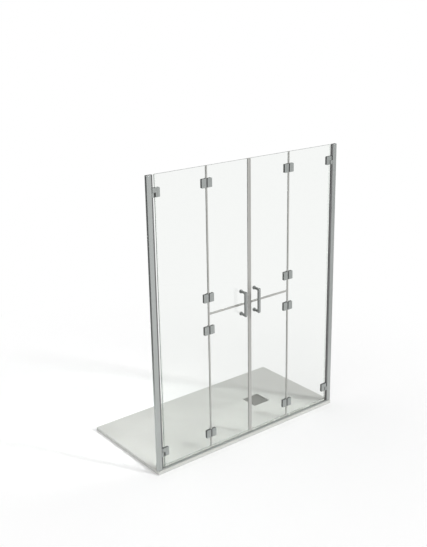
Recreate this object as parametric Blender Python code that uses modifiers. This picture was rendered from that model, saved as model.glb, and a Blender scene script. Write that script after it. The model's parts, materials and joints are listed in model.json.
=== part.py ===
"""Folding glass shower enclosure for a wall-to-wall recess.

A slab tray carries two wall profiles. An outer pane hangs on each profile, and an inner leaf, split at half
height, folds on each outer pane. Lengths are in metres. +X runs along the doors from left to right as seen
from outside, +Y points into the shower and +Z is up. The origin is the centre of the tray's underside.
"""

import math

import bmesh
import bpy
from mathutils import Vector

# Driving sizes of the enclosure
OPENING_WIDTH = 1.600
TRAY_DEPTH = 0.800
TRAY_HEIGHT = 0.025
DOOR_HEIGHT = 2.000
GLASS_THICKNESS = 0.008
GLASS_SETBACK = 0.016
FOLD_LINE = 0.450
SPLIT_HEIGHT = 1.003

# Clearances
SEAT_GAP = 0.0003
RUNNING_GAP = 0.0005
SEAL_GAP = 0.0004
PIN_GAP = 0.0003
OVERRUN = 0.002

# Tray and drain
TRAY_EDGE_RADIUS = 0.002
DRAIN_FROM_RIGHT = 0.435
DRAIN_FROM_FRONT = 0.382
DRAIN_COVER_SIZE = 0.140
DRAIN_COVER_THICKNESS = 0.004
DRAIN_SLOT = 0.004
DRAIN_RECESS_DEPTH = 0.012
DRAIN_COVER_SINK = 0.0005
DRAIN_FOOT_RADIUS = 0.005
DRAIN_FOOT_INSET = 0.012
FLANGE_RADIUS = 0.055
FLANGE_THICKNESS = 0.0025
SPIGOT_RADIUS = 0.0425
SPIGOT_BORE_RADIUS = 0.0375
SPIGOT_LIFT = 0.001

# Wall profile, its gasket and the threshold bar
PROFILE_WIDTH = 0.034
PROFILE_DEPTH = 0.020
PROFILE_WALL = 0.0018
PROFILE_EDGE_RADIUS = 0.0015
GROOVE_WIDTH = 0.006
GASKET_WIDTH = 0.012
GASKET_DEPTH = 0.016
GASKET_EDGE_RADIUS = 0.003
GASKET_FOOT_WIDTH = 0.010
GASKET_FOOT_THICKNESS = 0.003
GASKET_NECK_WIDTH = 0.005
THRESHOLD_DEPTH = 0.018
THRESHOLD_HEIGHT = 0.008
THRESHOLD_EDGE_RADIUS = 0.0015

# Glass panes
WALL_EDGE = 0.060
GLASS_LIFT = 0.014
FOLD_EDGE_GAP = 0.005
SPLIT_GAP = 0.005
CENTRE_EDGE = 0.0085
GLASS_ARRIS = 0.0008
CLAMP_HOLE_RADIUS = 0.007

# Hinges
HINGE_INSET = 0.112
HINGE_HEIGHT = 0.060
PLATE_THICKNESS = 0.0057
PLATE_CORNER_RADIUS = 0.004
PLATE_EDGE_RADIUS = 0.0008
FOLD_PLATE_WIDTH = 0.036
FOLD_PLATE_GAP = 0.010
FOLD_AXIS_BEHIND = 0.012
FOLD_KNUCKLE_RADIUS = 0.006
FOLD_KNUCKLE_HEIGHT = 0.020
FOLD_PIN_RADIUS = 0.0025
KNUCKLE_INSET = 0.0004
ARM_INSET = 0.0003
ARM_BACK_INSET = 0.001
WALL_AXIS = 0.047
WALL_KNUCKLE_RADIUS = 0.010
WALL_PLATE_WIDTH = 0.031
WALL_PLATE_INSET = 0.003
WALL_KNUCKLE_SINK = 0.0002
WALL_PIN_RADIUS = 0.004
WALL_BASE_THICKNESS = 0.0022
WALL_PIN_SHORT = 0.003

# Handles
HANDLE_LEFT_FROM_CENTRE = 0.078
HANDLE_RIGHT_FROM_CENTRE = 0.039
HANDLE_ABOVE_SPLIT = 0.096
HANDLE_SPACING = 0.160
HANDLE_BAR_FROM_GLASS = 0.0525
HANDLE_BAR_RADIUS = 0.011
HANDLE_OVERHANG = 0.0095
HANDLE_ARM_RADIUS = 0.009
HANDLE_END_RADIUS = 0.007
ROSETTE_RADIUS = 0.0135
ROSETTE_THICKNESS = 0.007
ROSETTE_EDGE_RADIUS = 0.001
STUD_RADIUS = 0.004
STUD_HOLE_RADIUS = 0.0045

# Edge seals on the glass
SEAL_WALL = 0.0012
SEAL_WEB = 0.0014
SEAL_NOTCH_BITE = 0.0002
FOLD_SEAL_COVER = 0.003
FOLD_SEAL_WEB = 0.0023
CENTRE_SEAL_COVER = 0.0045
CENTRE_SEAL_HEAD_WIDTH = 0.009
CENTRE_MEETING_GAP = 0.0012
SPLIT_SEAL_COVER = 0.0038
SPLIT_SEAL_HEAD = 0.001
SPLIT_SEAL_HEAD_WIDTH = 0.009
DRIP_SEAL_COVER = 0.012
DRIP_FIN_THICKNESS = 0.0016
DRIP_FIN_CLEARANCE = 0.001

# Facets
SMALL_ROUND_SIDES = 16
ROUND_SIDES = 24
WIDE_ROUND_SIDES = 48
CORNER_SEGMENTS = 2
DOME_SEGMENTS = 3
HARD_ANGLE = 50
SMOOTH_ANGLE = 35

# Places worked out from the sizes above
GLASS_Y = GLASS_SETBACK - TRAY_DEPTH / 2
DECK_Z = TRAY_HEIGHT
TOP_Z = DECK_Z + DOOR_HEIGHT
SPLIT_Z = DECK_Z + SPLIT_HEIGHT
PLATE_OFFSET = GLASS_THICKNESS / 2 + SEAT_GAP + PLATE_THICKNESS / 2
SIDES = {"left": -1, "right": 1}
LEAVES = {
    "lower": (DECK_Z + GLASS_LIFT, SPLIT_Z - SPLIT_GAP / 2),
    "upper": (SPLIT_Z + SPLIT_GAP / 2, TOP_Z),
}


def hinge_heights(low, high):
    """Heights of the two hinges on a pane that reaches from low to high."""
    return {"bottom": low + HINGE_INSET, "top": high - HINGE_INSET}


def fold_hinge_heights():
    """Heights of the hinges on one fold line, two on each half of the leaf."""
    return [height for ends in LEAVES.values() for height in hinge_heights(*ends).values()]


def from_wall(side, distance):
    """X of a place at this distance from the wall face on one side."""
    return side * (OPENING_WIDTH / 2 - distance)


# Scene, materials and modelling helpers


def clear_scene():
    for obj in list(bpy.data.objects):
        bpy.data.objects.remove(obj, do_unlink=True)


def new_collection(name):
    collection = bpy.data.collections.new(name)
    bpy.context.scene.collection.children.link(collection)
    return collection


def new_material(name, colour, metallic, roughness, transmission=0.0):
    material = bpy.data.materials.new(name)
    material.use_nodes = True
    shader = material.node_tree.nodes["Principled BSDF"]
    shader.inputs["Base Color"].default_value = (*colour, 1.0)
    shader.inputs["Metallic"].default_value = metallic
    shader.inputs["Roughness"].default_value = roughness
    shader.inputs["Transmission Weight"].default_value = transmission
    return material


def helper(bm):
    """A shape that only cuts or joins, kept out of the finished object."""
    mesh = bpy.data.meshes.new("helper")
    bm.to_mesh(mesh)
    bm.free()
    obj = bpy.data.objects.new("helper", mesh)
    obj.hide_render = True
    obj.display_type = "WIRE"
    helpers.objects.link(obj)
    return obj


def piece(name, shape, material, parent=None, location=(0, 0, 0)):
    """A finished sub-part, made from a helper shape or from a mesh that copies share."""
    if isinstance(shape, bpy.types.Mesh):
        obj = bpy.data.objects.new(name, shape)
    else:
        obj = shape
        helpers.objects.unlink(obj)
        obj.name = name
        obj.data.name = name
        obj.hide_render = False
        obj.display_type = "TEXTURED"
    parts.objects.link(obj)
    obj.location = location
    obj.data.materials.clear()
    obj.data.materials.append(material)
    if parent:
        obj.parent = parent
        obj.matrix_parent_inverse = parent.matrix_world.inverted()
    return obj


def box(low, high):
    """A block between two corners."""
    low, high = Vector(low), Vector(high)
    bm = bmesh.new()
    bmesh.ops.create_cube(bm, size=1)
    bmesh.ops.scale(bm, vec=high - low, verts=bm.verts)
    bmesh.ops.translate(bm, vec=(low + high) / 2, verts=bm.verts)
    return helper(bm)


def blocks(size, centres):
    """Equal blocks about several centres, in one helper shape."""
    bm = bmesh.new()
    for centre in centres:
        made = bmesh.ops.create_cube(bm, size=1)
        bmesh.ops.scale(bm, vec=size, verts=made["verts"])
        bmesh.ops.translate(bm, vec=centre, verts=made["verts"])
    return helper(bm)


def add_rod(bm, radius, start, end, sides=ROUND_SIDES):
    """A closed cylinder from start to end, added to bm."""
    start, end = Vector(start), Vector(end)
    made = bmesh.ops.create_cone(
        bm, cap_ends=True, segments=sides, radius1=radius, radius2=radius, depth=(end - start).length
    )
    turn = (end - start).to_track_quat("Z", "Y").to_matrix()
    bmesh.ops.rotate(bm, cent=(0, 0, 0), matrix=turn, verts=made["verts"])
    bmesh.ops.translate(bm, vec=(start + end) / 2, verts=made["verts"])


def rod(radius, start, end, sides=ROUND_SIDES):
    bm = bmesh.new()
    add_rod(bm, radius, start, end, sides)
    return helper(bm)


def prism(outline, low, high, axis="Z"):
    """A flat outline pushed from low to high along Z, or along Y with the outline in X and Z."""
    bm = bmesh.new()
    if axis == "Z":
        corners = [bm.verts.new((across, along, low)) for across, along in outline]
        push = (0, 0, high - low)
    else:
        corners = [bm.verts.new((across, low, along)) for across, along in outline]
        push = (0, high - low, 0)
    face = bm.faces.new(corners)
    made = bmesh.ops.extrude_face_region(bm, geom=[face])
    moved = [v for v in made["geom"] if isinstance(v, bmesh.types.BMVert)]
    bmesh.ops.translate(bm, vec=push, verts=moved)
    bmesh.ops.recalc_face_normals(bm, faces=bm.faces)
    return helper(bm)


def round_corners(obj, radius, segments):
    """Rounds the edges that run along Y, which are the corners of a plate seen from the front."""
    bm = bmesh.new()
    bm.from_mesh(obj.data)
    corners = [e for e in bm.edges if abs((e.verts[0].co - e.verts[1].co).normalized().y) > math.sqrt(0.5)]
    bmesh.ops.bevel(bm, geom=corners, offset=radius, segments=segments, profile=0.5, affect="EDGES")
    bm.to_mesh(obj.data)
    bm.free()


def soften(obj, radius, segments=1):
    """Takes the sharpness off every hard edge."""
    bevel = obj.modifiers.new("soft_edges", "BEVEL")
    bevel.width = radius
    bevel.segments = segments
    bevel.limit_method = "ANGLE"
    bevel.angle_limit = math.radians(HARD_ANGLE)
    return obj


def combine(obj, operation, others):
    for number, other in enumerate(others):
        boolean = obj.modifiers.new(f"{operation.lower()}_{number}", "BOOLEAN")
        boolean.operation = operation
        boolean.object = other
        boolean.solver = "EXACT"
    return obj


def join(obj, *others):
    return combine(obj, "UNION", others)


def cut(obj, *others):
    return combine(obj, "DIFFERENCE", others)


def shared_mesh(obj, name):
    """The finished mesh of a helper shape, for pieces that come in several copies."""
    bpy.context.view_layer.update()
    graph = bpy.context.evaluated_depsgraph_get()
    mesh = bpy.data.meshes.new_from_object(obj.evaluated_get(graph))
    mesh.name = name
    return mesh


def shade_round(obj):
    obj.data.shade_smooth()
    obj.data.set_sharp_from_angle(angle=math.radians(SMOOTH_ANGLE))
    return obj


def axis_empty(name, location, parent=None):
    """An empty that stands on a hinge axis and carries what turns about it."""
    empty = bpy.data.objects.new(name, None)
    parts.objects.link(empty)
    empty.location = location
    bpy.context.view_layer.update()
    if parent:
        empty.parent = parent
        empty.matrix_parent_inverse = parent.matrix_world.inverted()
        bpy.context.view_layer.update()
    return empty


# Tray and drain


def drain_centre():
    return OPENING_WIDTH / 2 - DRAIN_FROM_RIGHT, DRAIN_FROM_FRONT - TRAY_DEPTH / 2


def make_tray():
    """Solid slab with a square recess for the drain cover and a round hole for the waste."""
    x, y = drain_centre()
    half = DRAIN_COVER_SIZE / 2 + DRAIN_SLOT
    floor = DECK_Z - DRAIN_RECESS_DEPTH
    slab = box((-OPENING_WIDTH / 2, -TRAY_DEPTH / 2, 0), (OPENING_WIDTH / 2, TRAY_DEPTH / 2, DECK_Z))
    soften(slab, TRAY_EDGE_RADIUS, 2)
    recess = box((x - half, y - half, floor), (x + half, y + half, DECK_Z + OVERRUN))
    hole_radius = SPIGOT_RADIUS + SEAT_GAP
    hole = rod(hole_radius, (x, y, -OVERRUN), (x, y, floor + OVERRUN), WIDE_ROUND_SIDES)
    piece("tray", cut(slab, recess, hole), stone)


def make_drain():
    """Waste flange seated in the recess, and the square cover that stands over it on four feet."""
    x, y = drain_centre()
    seat = DECK_Z - DRAIN_RECESS_DEPTH + SEAT_GAP
    flange_top = seat + FLANGE_THICKNESS
    flange = rod(FLANGE_RADIUS, (x, y, seat), (x, y, flange_top), WIDE_ROUND_SIDES)
    spigot = rod(SPIGOT_RADIUS, (x, y, SPIGOT_LIFT), (x, y, seat + FLANGE_THICKNESS / 2), WIDE_ROUND_SIDES)
    bore = rod(SPIGOT_BORE_RADIUS, (x, y, 0), (x, y, flange_top + OVERRUN), WIDE_ROUND_SIDES)
    mesh = shared_mesh(cut(join(flange, spigot), bore), "waste_flange")
    shade_round(piece("waste_flange", mesh, brushed_steel))

    half = DRAIN_COVER_SIZE / 2
    top = DECK_Z - DRAIN_COVER_SINK
    underside = top - DRAIN_COVER_THICKNESS
    cover = box((x - half, y - half, underside), (x + half, y + half, top))
    soften(cover, PLATE_EDGE_RADIUS)
    reach = half - DRAIN_FOOT_INSET
    feet = bmesh.new()
    for across in (-reach, reach):
        for along in (-reach, reach):
            place = Vector((x + across, y + along, 0))
            low = place + Vector((0, 0, seat))
            high = place + Vector((0, 0, underside + DRAIN_COVER_THICKNESS / 2))
            add_rod(feet, DRAIN_FOOT_RADIUS, low, high)
    piece("drain_cover", join(cover, helper(feet)), dark_cover)


# Fixed frame


def make_wall_profile(name, side):
    """Hollow upright with a groove in its inner face that holds the gasket."""
    wall = from_wall(side, 0)
    face = from_wall(side, PROFILE_WIDTH)
    low_x, high_x = sorted((wall, face))
    half = PROFILE_DEPTH / 2
    foot = DECK_Z + SEAT_GAP
    upright = box((low_x, GLASS_Y - half, foot), (high_x, GLASS_Y + half, TOP_Z))
    soften(upright, PROFILE_EDGE_RADIUS, 2)
    inner = half - PROFILE_WALL
    hollow = box(
        (low_x + PROFILE_WALL, GLASS_Y - inner, foot - OVERRUN),
        (high_x - PROFILE_WALL, GLASS_Y + inner, TOP_Z + OVERRUN),
    )
    mouth_x = sorted((face - side * OVERRUN, face + side * (PROFILE_WALL + OVERRUN)))
    groove = box(
        (mouth_x[0], GLASS_Y - GROOVE_WIDTH / 2, foot - OVERRUN),
        (mouth_x[1], GLASS_Y + GROOVE_WIDTH / 2, TOP_Z + OVERRUN),
    )
    piece(f"wall_profile_{name}", cut(upright, hollow, groove), satin_aluminium)


def make_profile_gasket(name, side):
    """Rubber strip with its foot in the profile's groove, cut back where the wall hinges stand."""
    outward = [
        (PROFILE_WIDTH - PROFILE_WALL - SEAL_GAP - GASKET_FOOT_THICKNESS, GASKET_FOOT_WIDTH / 2),
        (PROFILE_WIDTH - PROFILE_WALL - SEAL_GAP, GASKET_FOOT_WIDTH / 2),
        (PROFILE_WIDTH - PROFILE_WALL - SEAL_GAP, GASKET_NECK_WIDTH / 2),
        (PROFILE_WIDTH + SEAT_GAP, GASKET_NECK_WIDTH / 2),
        (PROFILE_WIDTH + SEAT_GAP, GASKET_DEPTH / 2),
        (PROFILE_WIDTH + GASKET_WIDTH - GASKET_EDGE_RADIUS, GASKET_DEPTH / 2),
        (PROFILE_WIDTH + GASKET_WIDTH, GASKET_DEPTH / 2 - GASKET_EDGE_RADIUS),
    ]
    half_outline = [(from_wall(side, distance), depth) for distance, depth in outward]
    mirrored = [(x, -depth) for x, depth in reversed(half_outline)]
    outline = [(x, GLASS_Y + depth) for x, depth in half_outline + mirrored]
    low = DECK_Z + THRESHOLD_HEIGHT + RUNNING_GAP
    strip = prism(outline, low, TOP_Z)
    size = (GASKET_WIDTH + OVERRUN, GASKET_DEPTH + OVERRUN, HINGE_HEIGHT + 2 * RUNNING_GAP)
    middle_x = from_wall(side, PROFILE_WIDTH + size[0] / 2)
    heights = hinge_heights(DECK_Z + GLASS_LIFT, TOP_Z).values()
    notches = blocks(size, [(middle_x, GLASS_Y, height) for height in heights])
    piece(f"profile_gasket_{name}", cut(strip, notches), dark_rubber)


def make_threshold():
    """Low bar on the tray under the doors, between the two wall profiles."""
    reach = OPENING_WIDTH / 2 - PROFILE_WIDTH - SEAT_GAP
    half = THRESHOLD_DEPTH / 2
    foot = DECK_Z + SEAT_GAP
    bar = box((-reach, GLASS_Y - half, foot), (reach, GLASS_Y + half, DECK_Z + THRESHOLD_HEIGHT))
    piece("threshold_bar", soften(bar, THRESHOLD_EDGE_RADIUS, 2), satin_aluminium)


# Glass


def glass_pane(name, side, near, far, low, high, holes, parent):
    """A pane between two distances from the wall face, drilled at (distance, height, radius) holes."""
    low_x, high_x = sorted((from_wall(side, near), from_wall(side, far)))
    half = GLASS_THICKNESS / 2
    pane = box((low_x, GLASS_Y - half, low), (high_x, GLASS_Y + half, high))
    soften(pane, GLASS_ARRIS)
    drill = bmesh.new()
    for distance, height, radius in holes:
        x = from_wall(side, distance)
        front = (x, GLASS_Y - half - OVERRUN, height)
        back = (x, GLASS_Y + half + OVERRUN, height)
        add_rod(drill, radius, front, back, SMALL_ROUND_SIDES)
    piece(name, cut(pane, helper(drill)), clear_glass, parent)


def fold_boss_distance(toward_wall):
    """Distance from the wall face of the boss that ties one half of a folding hinge through the glass."""
    offset = FOLD_PLATE_GAP / 2 + FOLD_PLATE_WIDTH / 2
    return FOLD_LINE - offset if toward_wall else FOLD_LINE + offset


def wall_boss_distance():
    return WALL_EDGE + WALL_PLATE_INSET + WALL_PLATE_WIDTH / 2


def handle_distance(name):
    from_centre = HANDLE_LEFT_FROM_CENTRE if name == "left" else HANDLE_RIGHT_FROM_CENTRE
    return OPENING_WIDTH / 2 - from_centre


def handle_feet():
    """Heights of the lower and upper foot of a handle, one on each half of the leaf."""
    upper = SPLIT_Z + HANDLE_ABOVE_SPLIT
    return {"lower": upper - HANDLE_SPACING, "upper": upper}


def make_outer_pane(name, side, parent):
    low, high = DECK_Z + GLASS_LIFT, TOP_Z
    holes = []
    for height in hinge_heights(low, high).values():
        holes.append((wall_boss_distance(), height, CLAMP_HOLE_RADIUS))
    for height in fold_hinge_heights():
        holes.append((fold_boss_distance(True), height, CLAMP_HOLE_RADIUS))
    far = FOLD_LINE - FOLD_EDGE_GAP / 2
    glass_pane(f"outer_pane_{name}", side, WALL_EDGE, far, low, high, holes, parent)


def make_leaf_glass(name, side, level, parent):
    low, high = LEAVES[level]
    holes = [(handle_distance(name), handle_feet()[level], STUD_HOLE_RADIUS)]
    for height in hinge_heights(low, high).values():
        holes.append((fold_boss_distance(False), height, CLAMP_HOLE_RADIUS))
    near = FOLD_LINE + FOLD_EDGE_GAP / 2
    far = OPENING_WIDTH / 2 - CENTRE_EDGE
    glass_pane(f"{level}_leaf_{name}", side, near, far, low, high, holes, parent)


# Hinges between outer pane and leaf


def clamp_plate(low_x, high_x, low_z, high_z, face):
    """A rounded plate on the front (face -1) or back (face 1) of the glass."""
    near = face * (GLASS_THICKNESS / 2 + SEAT_GAP)
    far = near + face * PLATE_THICKNESS
    low_y, high_y = sorted((near, far))
    plate = box((low_x, low_y, low_z), (high_x, high_y, high_z))
    round_corners(plate, PLATE_CORNER_RADIUS, CORNER_SEGMENTS)
    return soften(plate, PLATE_EDGE_RADIUS)


def clamp_boss(x):
    """The round middle of a clamp, which passes through the hole in the glass."""
    radius = CLAMP_HOLE_RADIUS - SEAT_GAP
    return rod(radius, (x, -PLATE_OFFSET, 0), (x, PLATE_OFFSET, 0), SMALL_ROUND_SIDES)


def fold_half_mesh(direction, knuckles, name):
    """Half of a folding hinge: two plates on the glass at +X or -X of the fold line, tied by a boss
    through the glass, with knuckles behind the glass that turn on the pin."""
    half_height = HINGE_HEIGHT / 2
    inner = direction * FOLD_PLATE_GAP / 2
    outer = inner + direction * FOLD_PLATE_WIDTH
    back_inner = direction * (FOLD_KNUCKLE_RADIUS + RUNNING_GAP)
    front = clamp_plate(*sorted((inner, outer)), -half_height, half_height, -1)
    back = clamp_plate(*sorted((back_inner, outer)), -half_height, half_height, 1)
    joined = [back, clamp_boss((inner + outer) / 2)]
    arm_root = back_inner + direction * PLATE_CORNER_RADIUS
    arm_x = sorted((0, arm_root))
    arm_front = FOLD_AXIS_BEHIND - FOLD_KNUCKLE_RADIUS + RUNNING_GAP
    arm_back = GLASS_THICKNESS / 2 + SEAT_GAP + PLATE_THICKNESS - ARM_BACK_INSET
    for low, high in knuckles:
        start = (0, FOLD_AXIS_BEHIND, low)
        end = (0, FOLD_AXIS_BEHIND, high)
        joined.append(rod(FOLD_KNUCKLE_RADIUS, start, end, SMALL_ROUND_SIDES))
        joined.append(box((arm_x[0], arm_front, low + ARM_INSET), (arm_x[1], arm_back, high - ARM_INSET)))
    reach = half_height + OVERRUN
    start = (0, FOLD_AXIS_BEHIND, -reach)
    end = (0, FOLD_AXIS_BEHIND, reach)
    bore = rod(FOLD_PIN_RADIUS + PIN_GAP, start, end, SMALL_ROUND_SIDES)
    return shared_mesh(cut(join(front, *joined), bore), name)


def make_fold_hinges(name, side, outer, leaves):
    """The hinges on one fold line: the middle knuckle is on the outer pane, the end knuckles on the leaf."""
    half_height = HINGE_HEIGHT / 2
    middle = FOLD_KNUCKLE_HEIGHT / 2
    outer_half = fold_half_mesh(side, [(-middle, middle)], f"fold_hinge_outer_{name}")
    tip = half_height - KNUCKLE_INSET
    ends = [(-tip, -middle - RUNNING_GAP), (middle + RUNNING_GAP, tip)]
    leaf_half = fold_half_mesh(-side, ends, f"fold_hinge_leaf_{name}")
    x = from_wall(side, FOLD_LINE)
    for level, leaf in leaves.items():
        for place_name, height in hinge_heights(*LEAVES[level]).items():
            place = (x, GLASS_Y, height)
            tag = f"{level}_{place_name}_{name}"
            shade_round(piece(f"fold_hinge_outer_{tag}", outer_half, satin_steel, outer, place))
            shade_round(piece(f"fold_hinge_leaf_{tag}", leaf_half, satin_steel, leaf, place))
            axis_y = GLASS_Y + FOLD_AXIS_BEHIND
            start = (x, axis_y, height - half_height)
            end = (x, axis_y, height + half_height)
            pin = rod(FOLD_PIN_RADIUS, start, end, SMALL_ROUND_SIDES)
            shade_round(piece(f"fold_hinge_pin_{tag}", pin, brushed_steel, outer))


# Hinges between wall profile and outer pane


def wall_bracket_mesh(side):
    """Fixed half of a wall hinge: base on the profile, lug on the lower half and pin standing on it."""
    half_height = HINGE_HEIGHT / 2
    depth = WALL_KNUCKLE_RADIUS - SEAT_GAP
    base_back = side * (WALL_AXIS - PROFILE_WIDTH - SEAT_GAP)
    base_front = base_back - side * WALL_BASE_THICKNESS
    base_x = sorted((base_back, base_front))
    base = box((base_x[0], -depth, -half_height), (base_x[1], depth, half_height))
    lug_x = sorted((base_back - side * WALL_BASE_THICKNESS / 2, 0))
    lug_depth = depth - ARM_INSET
    barrel_low = -half_height + KNUCKLE_INSET
    barrel_high = -RUNNING_GAP / 2
    lug = box((lug_x[0], -lug_depth, barrel_low + ARM_INSET), (lug_x[1], lug_depth, barrel_high - ARM_INSET))
    barrel = rod(WALL_KNUCKLE_RADIUS, (0, 0, barrel_low), (0, 0, barrel_high))
    pin = rod(WALL_PIN_RADIUS, (0, 0, -half_height / 2), (0, 0, half_height - WALL_PIN_SHORT))
    return shared_mesh(join(base, lug, barrel, pin), "wall_hinge_bracket")


def wall_clamp_mesh(side):
    """Moving half of a wall hinge: plates on both faces of the glass and a knuckle on the upper half."""
    half_height = HINGE_HEIGHT / 2
    inward = -side
    edge = WALL_EDGE - WALL_AXIS
    near = inward * (edge + WALL_PLATE_INSET)
    far = near + inward * WALL_PLATE_WIDTH
    knuckle_low = RUNNING_GAP / 2
    knuckle_high = half_height - KNUCKLE_INSET
    shoulder = knuckle_low + ARM_INSET
    outline = [(near, shoulder), (near, -half_height), (far, -half_height)]
    outline += [(far, half_height), (0, half_height), (0, shoulder)]
    plates = []
    for face in (-1, 1):
        glass_side = face * (GLASS_THICKNESS / 2 + SEAT_GAP)
        low_y, high_y = sorted((glass_side, face * WALL_KNUCKLE_RADIUS))
        plate = prism(outline, low_y, high_y, "Y")
        round_outer_corners(plate, far)
        plates.append(soften(plate, PLATE_EDGE_RADIUS))
    radius = WALL_KNUCKLE_RADIUS - WALL_KNUCKLE_SINK
    knuckle = rod(radius, (0, 0, knuckle_low), (0, 0, knuckle_high))
    web_x = sorted((0, inward * (edge - SEAT_GAP)))
    depth = radius - PLATE_EDGE_RADIUS
    web_low = shoulder + ARM_INSET
    web_high = knuckle_high - ARM_INSET
    web = box((web_x[0], -depth, web_low), (web_x[1], depth, web_high))
    boss = clamp_boss((near + far) / 2)
    bore = rod(WALL_PIN_RADIUS + PIN_GAP, (0, 0, -OVERRUN), (0, 0, half_height + OVERRUN))
    return shared_mesh(cut(join(knuckle, web, *plates, boss), bore), "wall_hinge_clamp")


def round_outer_corners(plate, far):
    """Rounds the two corners of a wall hinge plate that lie at its far end."""
    bm = bmesh.new()
    bm.from_mesh(plate.data)
    corners = []
    for edge in bm.edges:
        start, end = (v.co for v in edge.verts)
        runs_across = abs(start.x - end.x) + abs(start.z - end.z) < SEAT_GAP
        if runs_across and abs(start.x - far) < SEAT_GAP:
            corners.append(edge)
    bmesh.ops.bevel(
        bm, geom=corners, offset=PLATE_CORNER_RADIUS, segments=CORNER_SEGMENTS, profile=0.5, affect="EDGES"
    )
    bm.to_mesh(plate.data)
    bm.free()


def make_wall_hinges(name, side, outer):
    bracket = wall_bracket_mesh(side)
    clamp = wall_clamp_mesh(side)
    x = from_wall(side, WALL_AXIS)
    for end, height in hinge_heights(DECK_Z + GLASS_LIFT, TOP_Z).items():
        place = (x, GLASS_Y, height)
        shade_round(piece(f"wall_hinge_bracket_{end}_{name}", bracket, satin_steel, None, place))
        shade_round(piece(f"wall_hinge_clamp_{end}_{name}", clamp, satin_steel, outer, place))


# Handles


def make_handle(name, side, parent):
    """Upright bar on two arms, each with a round foot on the glass and a stud through it."""
    x = from_wall(side, handle_distance(name))
    face = GLASS_Y - GLASS_THICKNESS / 2
    foot = face - SEAT_GAP
    bar_y = face - HANDLE_BAR_FROM_GLASS
    feet = handle_feet()
    bar_low = feet["lower"] - HANDLE_OVERHANG
    bar_high = feet["upper"] + HANDLE_OVERHANG
    bar = rod(HANDLE_BAR_RADIUS, (x, bar_y, bar_low), (x, bar_y, bar_high))
    soften(bar, HANDLE_END_RADIUS, DOME_SEGMENTS)
    joined = []
    for height in feet.values():
        rosette = rod(ROSETTE_RADIUS, (x, foot - ROSETTE_THICKNESS, height), (x, foot, height))
        joined.append(soften(rosette, ROSETTE_EDGE_RADIUS))
        joined.append(rod(HANDLE_ARM_RADIUS, (x, bar_y, height), (x, foot - ROSETTE_THICKNESS / 2, height)))
        stud_end = GLASS_Y + GLASS_THICKNESS / 2
        joined.append(rod(STUD_RADIUS, (x, foot - ROSETTE_THICKNESS / 2, height), (x, stud_end, height)))
    mesh = shared_mesh(join(bar, *joined), f"handle_{name}")
    shade_round(piece(f"handle_{name}", mesh, satin_steel, parent))


# Seals on the glass edges


def channel_outline(cover, head_length=0.0, head_width=0.0, web_thickness=SEAL_WEB):
    """Channel round a glass edge at x = 0: legs reach cover along the glass at +x, and a head at -x."""
    inner = GLASS_THICKNESS / 2 + SEAT_GAP
    outer = inner + SEAL_WALL
    web = -SEAL_GAP - web_thickness
    outline = [(cover, inner), (cover, outer), (web, outer)]
    if head_length:
        tip = web - head_length
        half = head_width / 2
        outline += [(web, half), (tip, half), (tip, -half), (web, -half)]
    outline += [(web, -outer), (cover, -outer), (cover, -inner), (-SEAL_GAP, -inner), (-SEAL_GAP, inner)]
    return outline


def upright_seal(name, outline, edge_x, facing, low, high, material, parent):
    """A channel on a vertical glass edge that faces +X (facing 1) or -X (facing -1)."""
    turned = [(edge_x - facing * x, GLASS_Y + y) for x, y in outline]
    return piece(name, prism(turned, low, high), material, parent)


def notch_for_clamps(seal, edge_x, side):
    """Cuts a fold seal's legs away where the hinge plates lie on the glass."""
    inner_end = FOLD_SEAL_COVER + OVERRUN
    outer_end = -SEAL_GAP - SEAL_NOTCH_BITE
    depth = GLASS_THICKNESS + 2 * (SEAT_GAP + SEAL_WALL + OVERRUN)
    size = (inner_end - outer_end, depth, HINGE_HEIGHT + 2 * RUNNING_GAP)
    middle_x = edge_x + side * (inner_end + outer_end) / 2
    cut(seal, blocks(size, [(middle_x, GLASS_Y, height) for height in fold_hinge_heights()]))


def level_seal(name, outline, start_x, end_x, edge_z, material, parent):
    """A channel on a glass edge that faces down."""
    length = abs(end_x - start_x)
    seal = piece(name, prism(outline, -length / 2, length / 2), material)
    seal.rotation_euler = (0, -math.pi / 2, 0)
    seal.location = ((start_x + end_x) / 2, GLASS_Y, edge_z)
    seal.parent = parent
    seal.matrix_parent_inverse = parent.matrix_world.inverted()


def web_reach():
    """How far the web of a seal stands out from the edge of the glass."""
    return SEAL_GAP + SEAL_WEB


def drip_outline():
    """Channel with a fin that hangs to just above the threshold bar."""
    fin = GLASS_LIFT - web_reach() - THRESHOLD_HEIGHT - DRIP_FIN_CLEARANCE
    return channel_outline(DRIP_SEAL_COVER, fin, DRIP_FIN_THICKNESS)


def upright_start():
    """Height at which the upright seals start, level with the webs of the drip seals."""
    return DECK_Z + GLASS_LIFT - web_reach()


def make_outer_seals(name, side, outer):
    edge_x = from_wall(side, FOLD_LINE - FOLD_EDGE_GAP / 2)
    outline = channel_outline(FOLD_SEAL_COVER, web_thickness=FOLD_SEAL_WEB)
    seal = upright_seal(
        f"fold_seal_{name}", outline, edge_x, -side, upright_start(), TOP_Z, seal_plastic, outer
    )
    notch_for_clamps(seal, edge_x, side)
    start = from_wall(side, WALL_EDGE)
    end = from_wall(side, FOLD_LINE - FOLD_EDGE_GAP / 2 - FOLD_SEAL_COVER - RUNNING_GAP)
    glass_foot = DECK_Z + GLASS_LIFT
    level_seal(f"drip_seal_outer_{name}", drip_outline(), start, end, glass_foot, seal_clear, outer)


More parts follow.
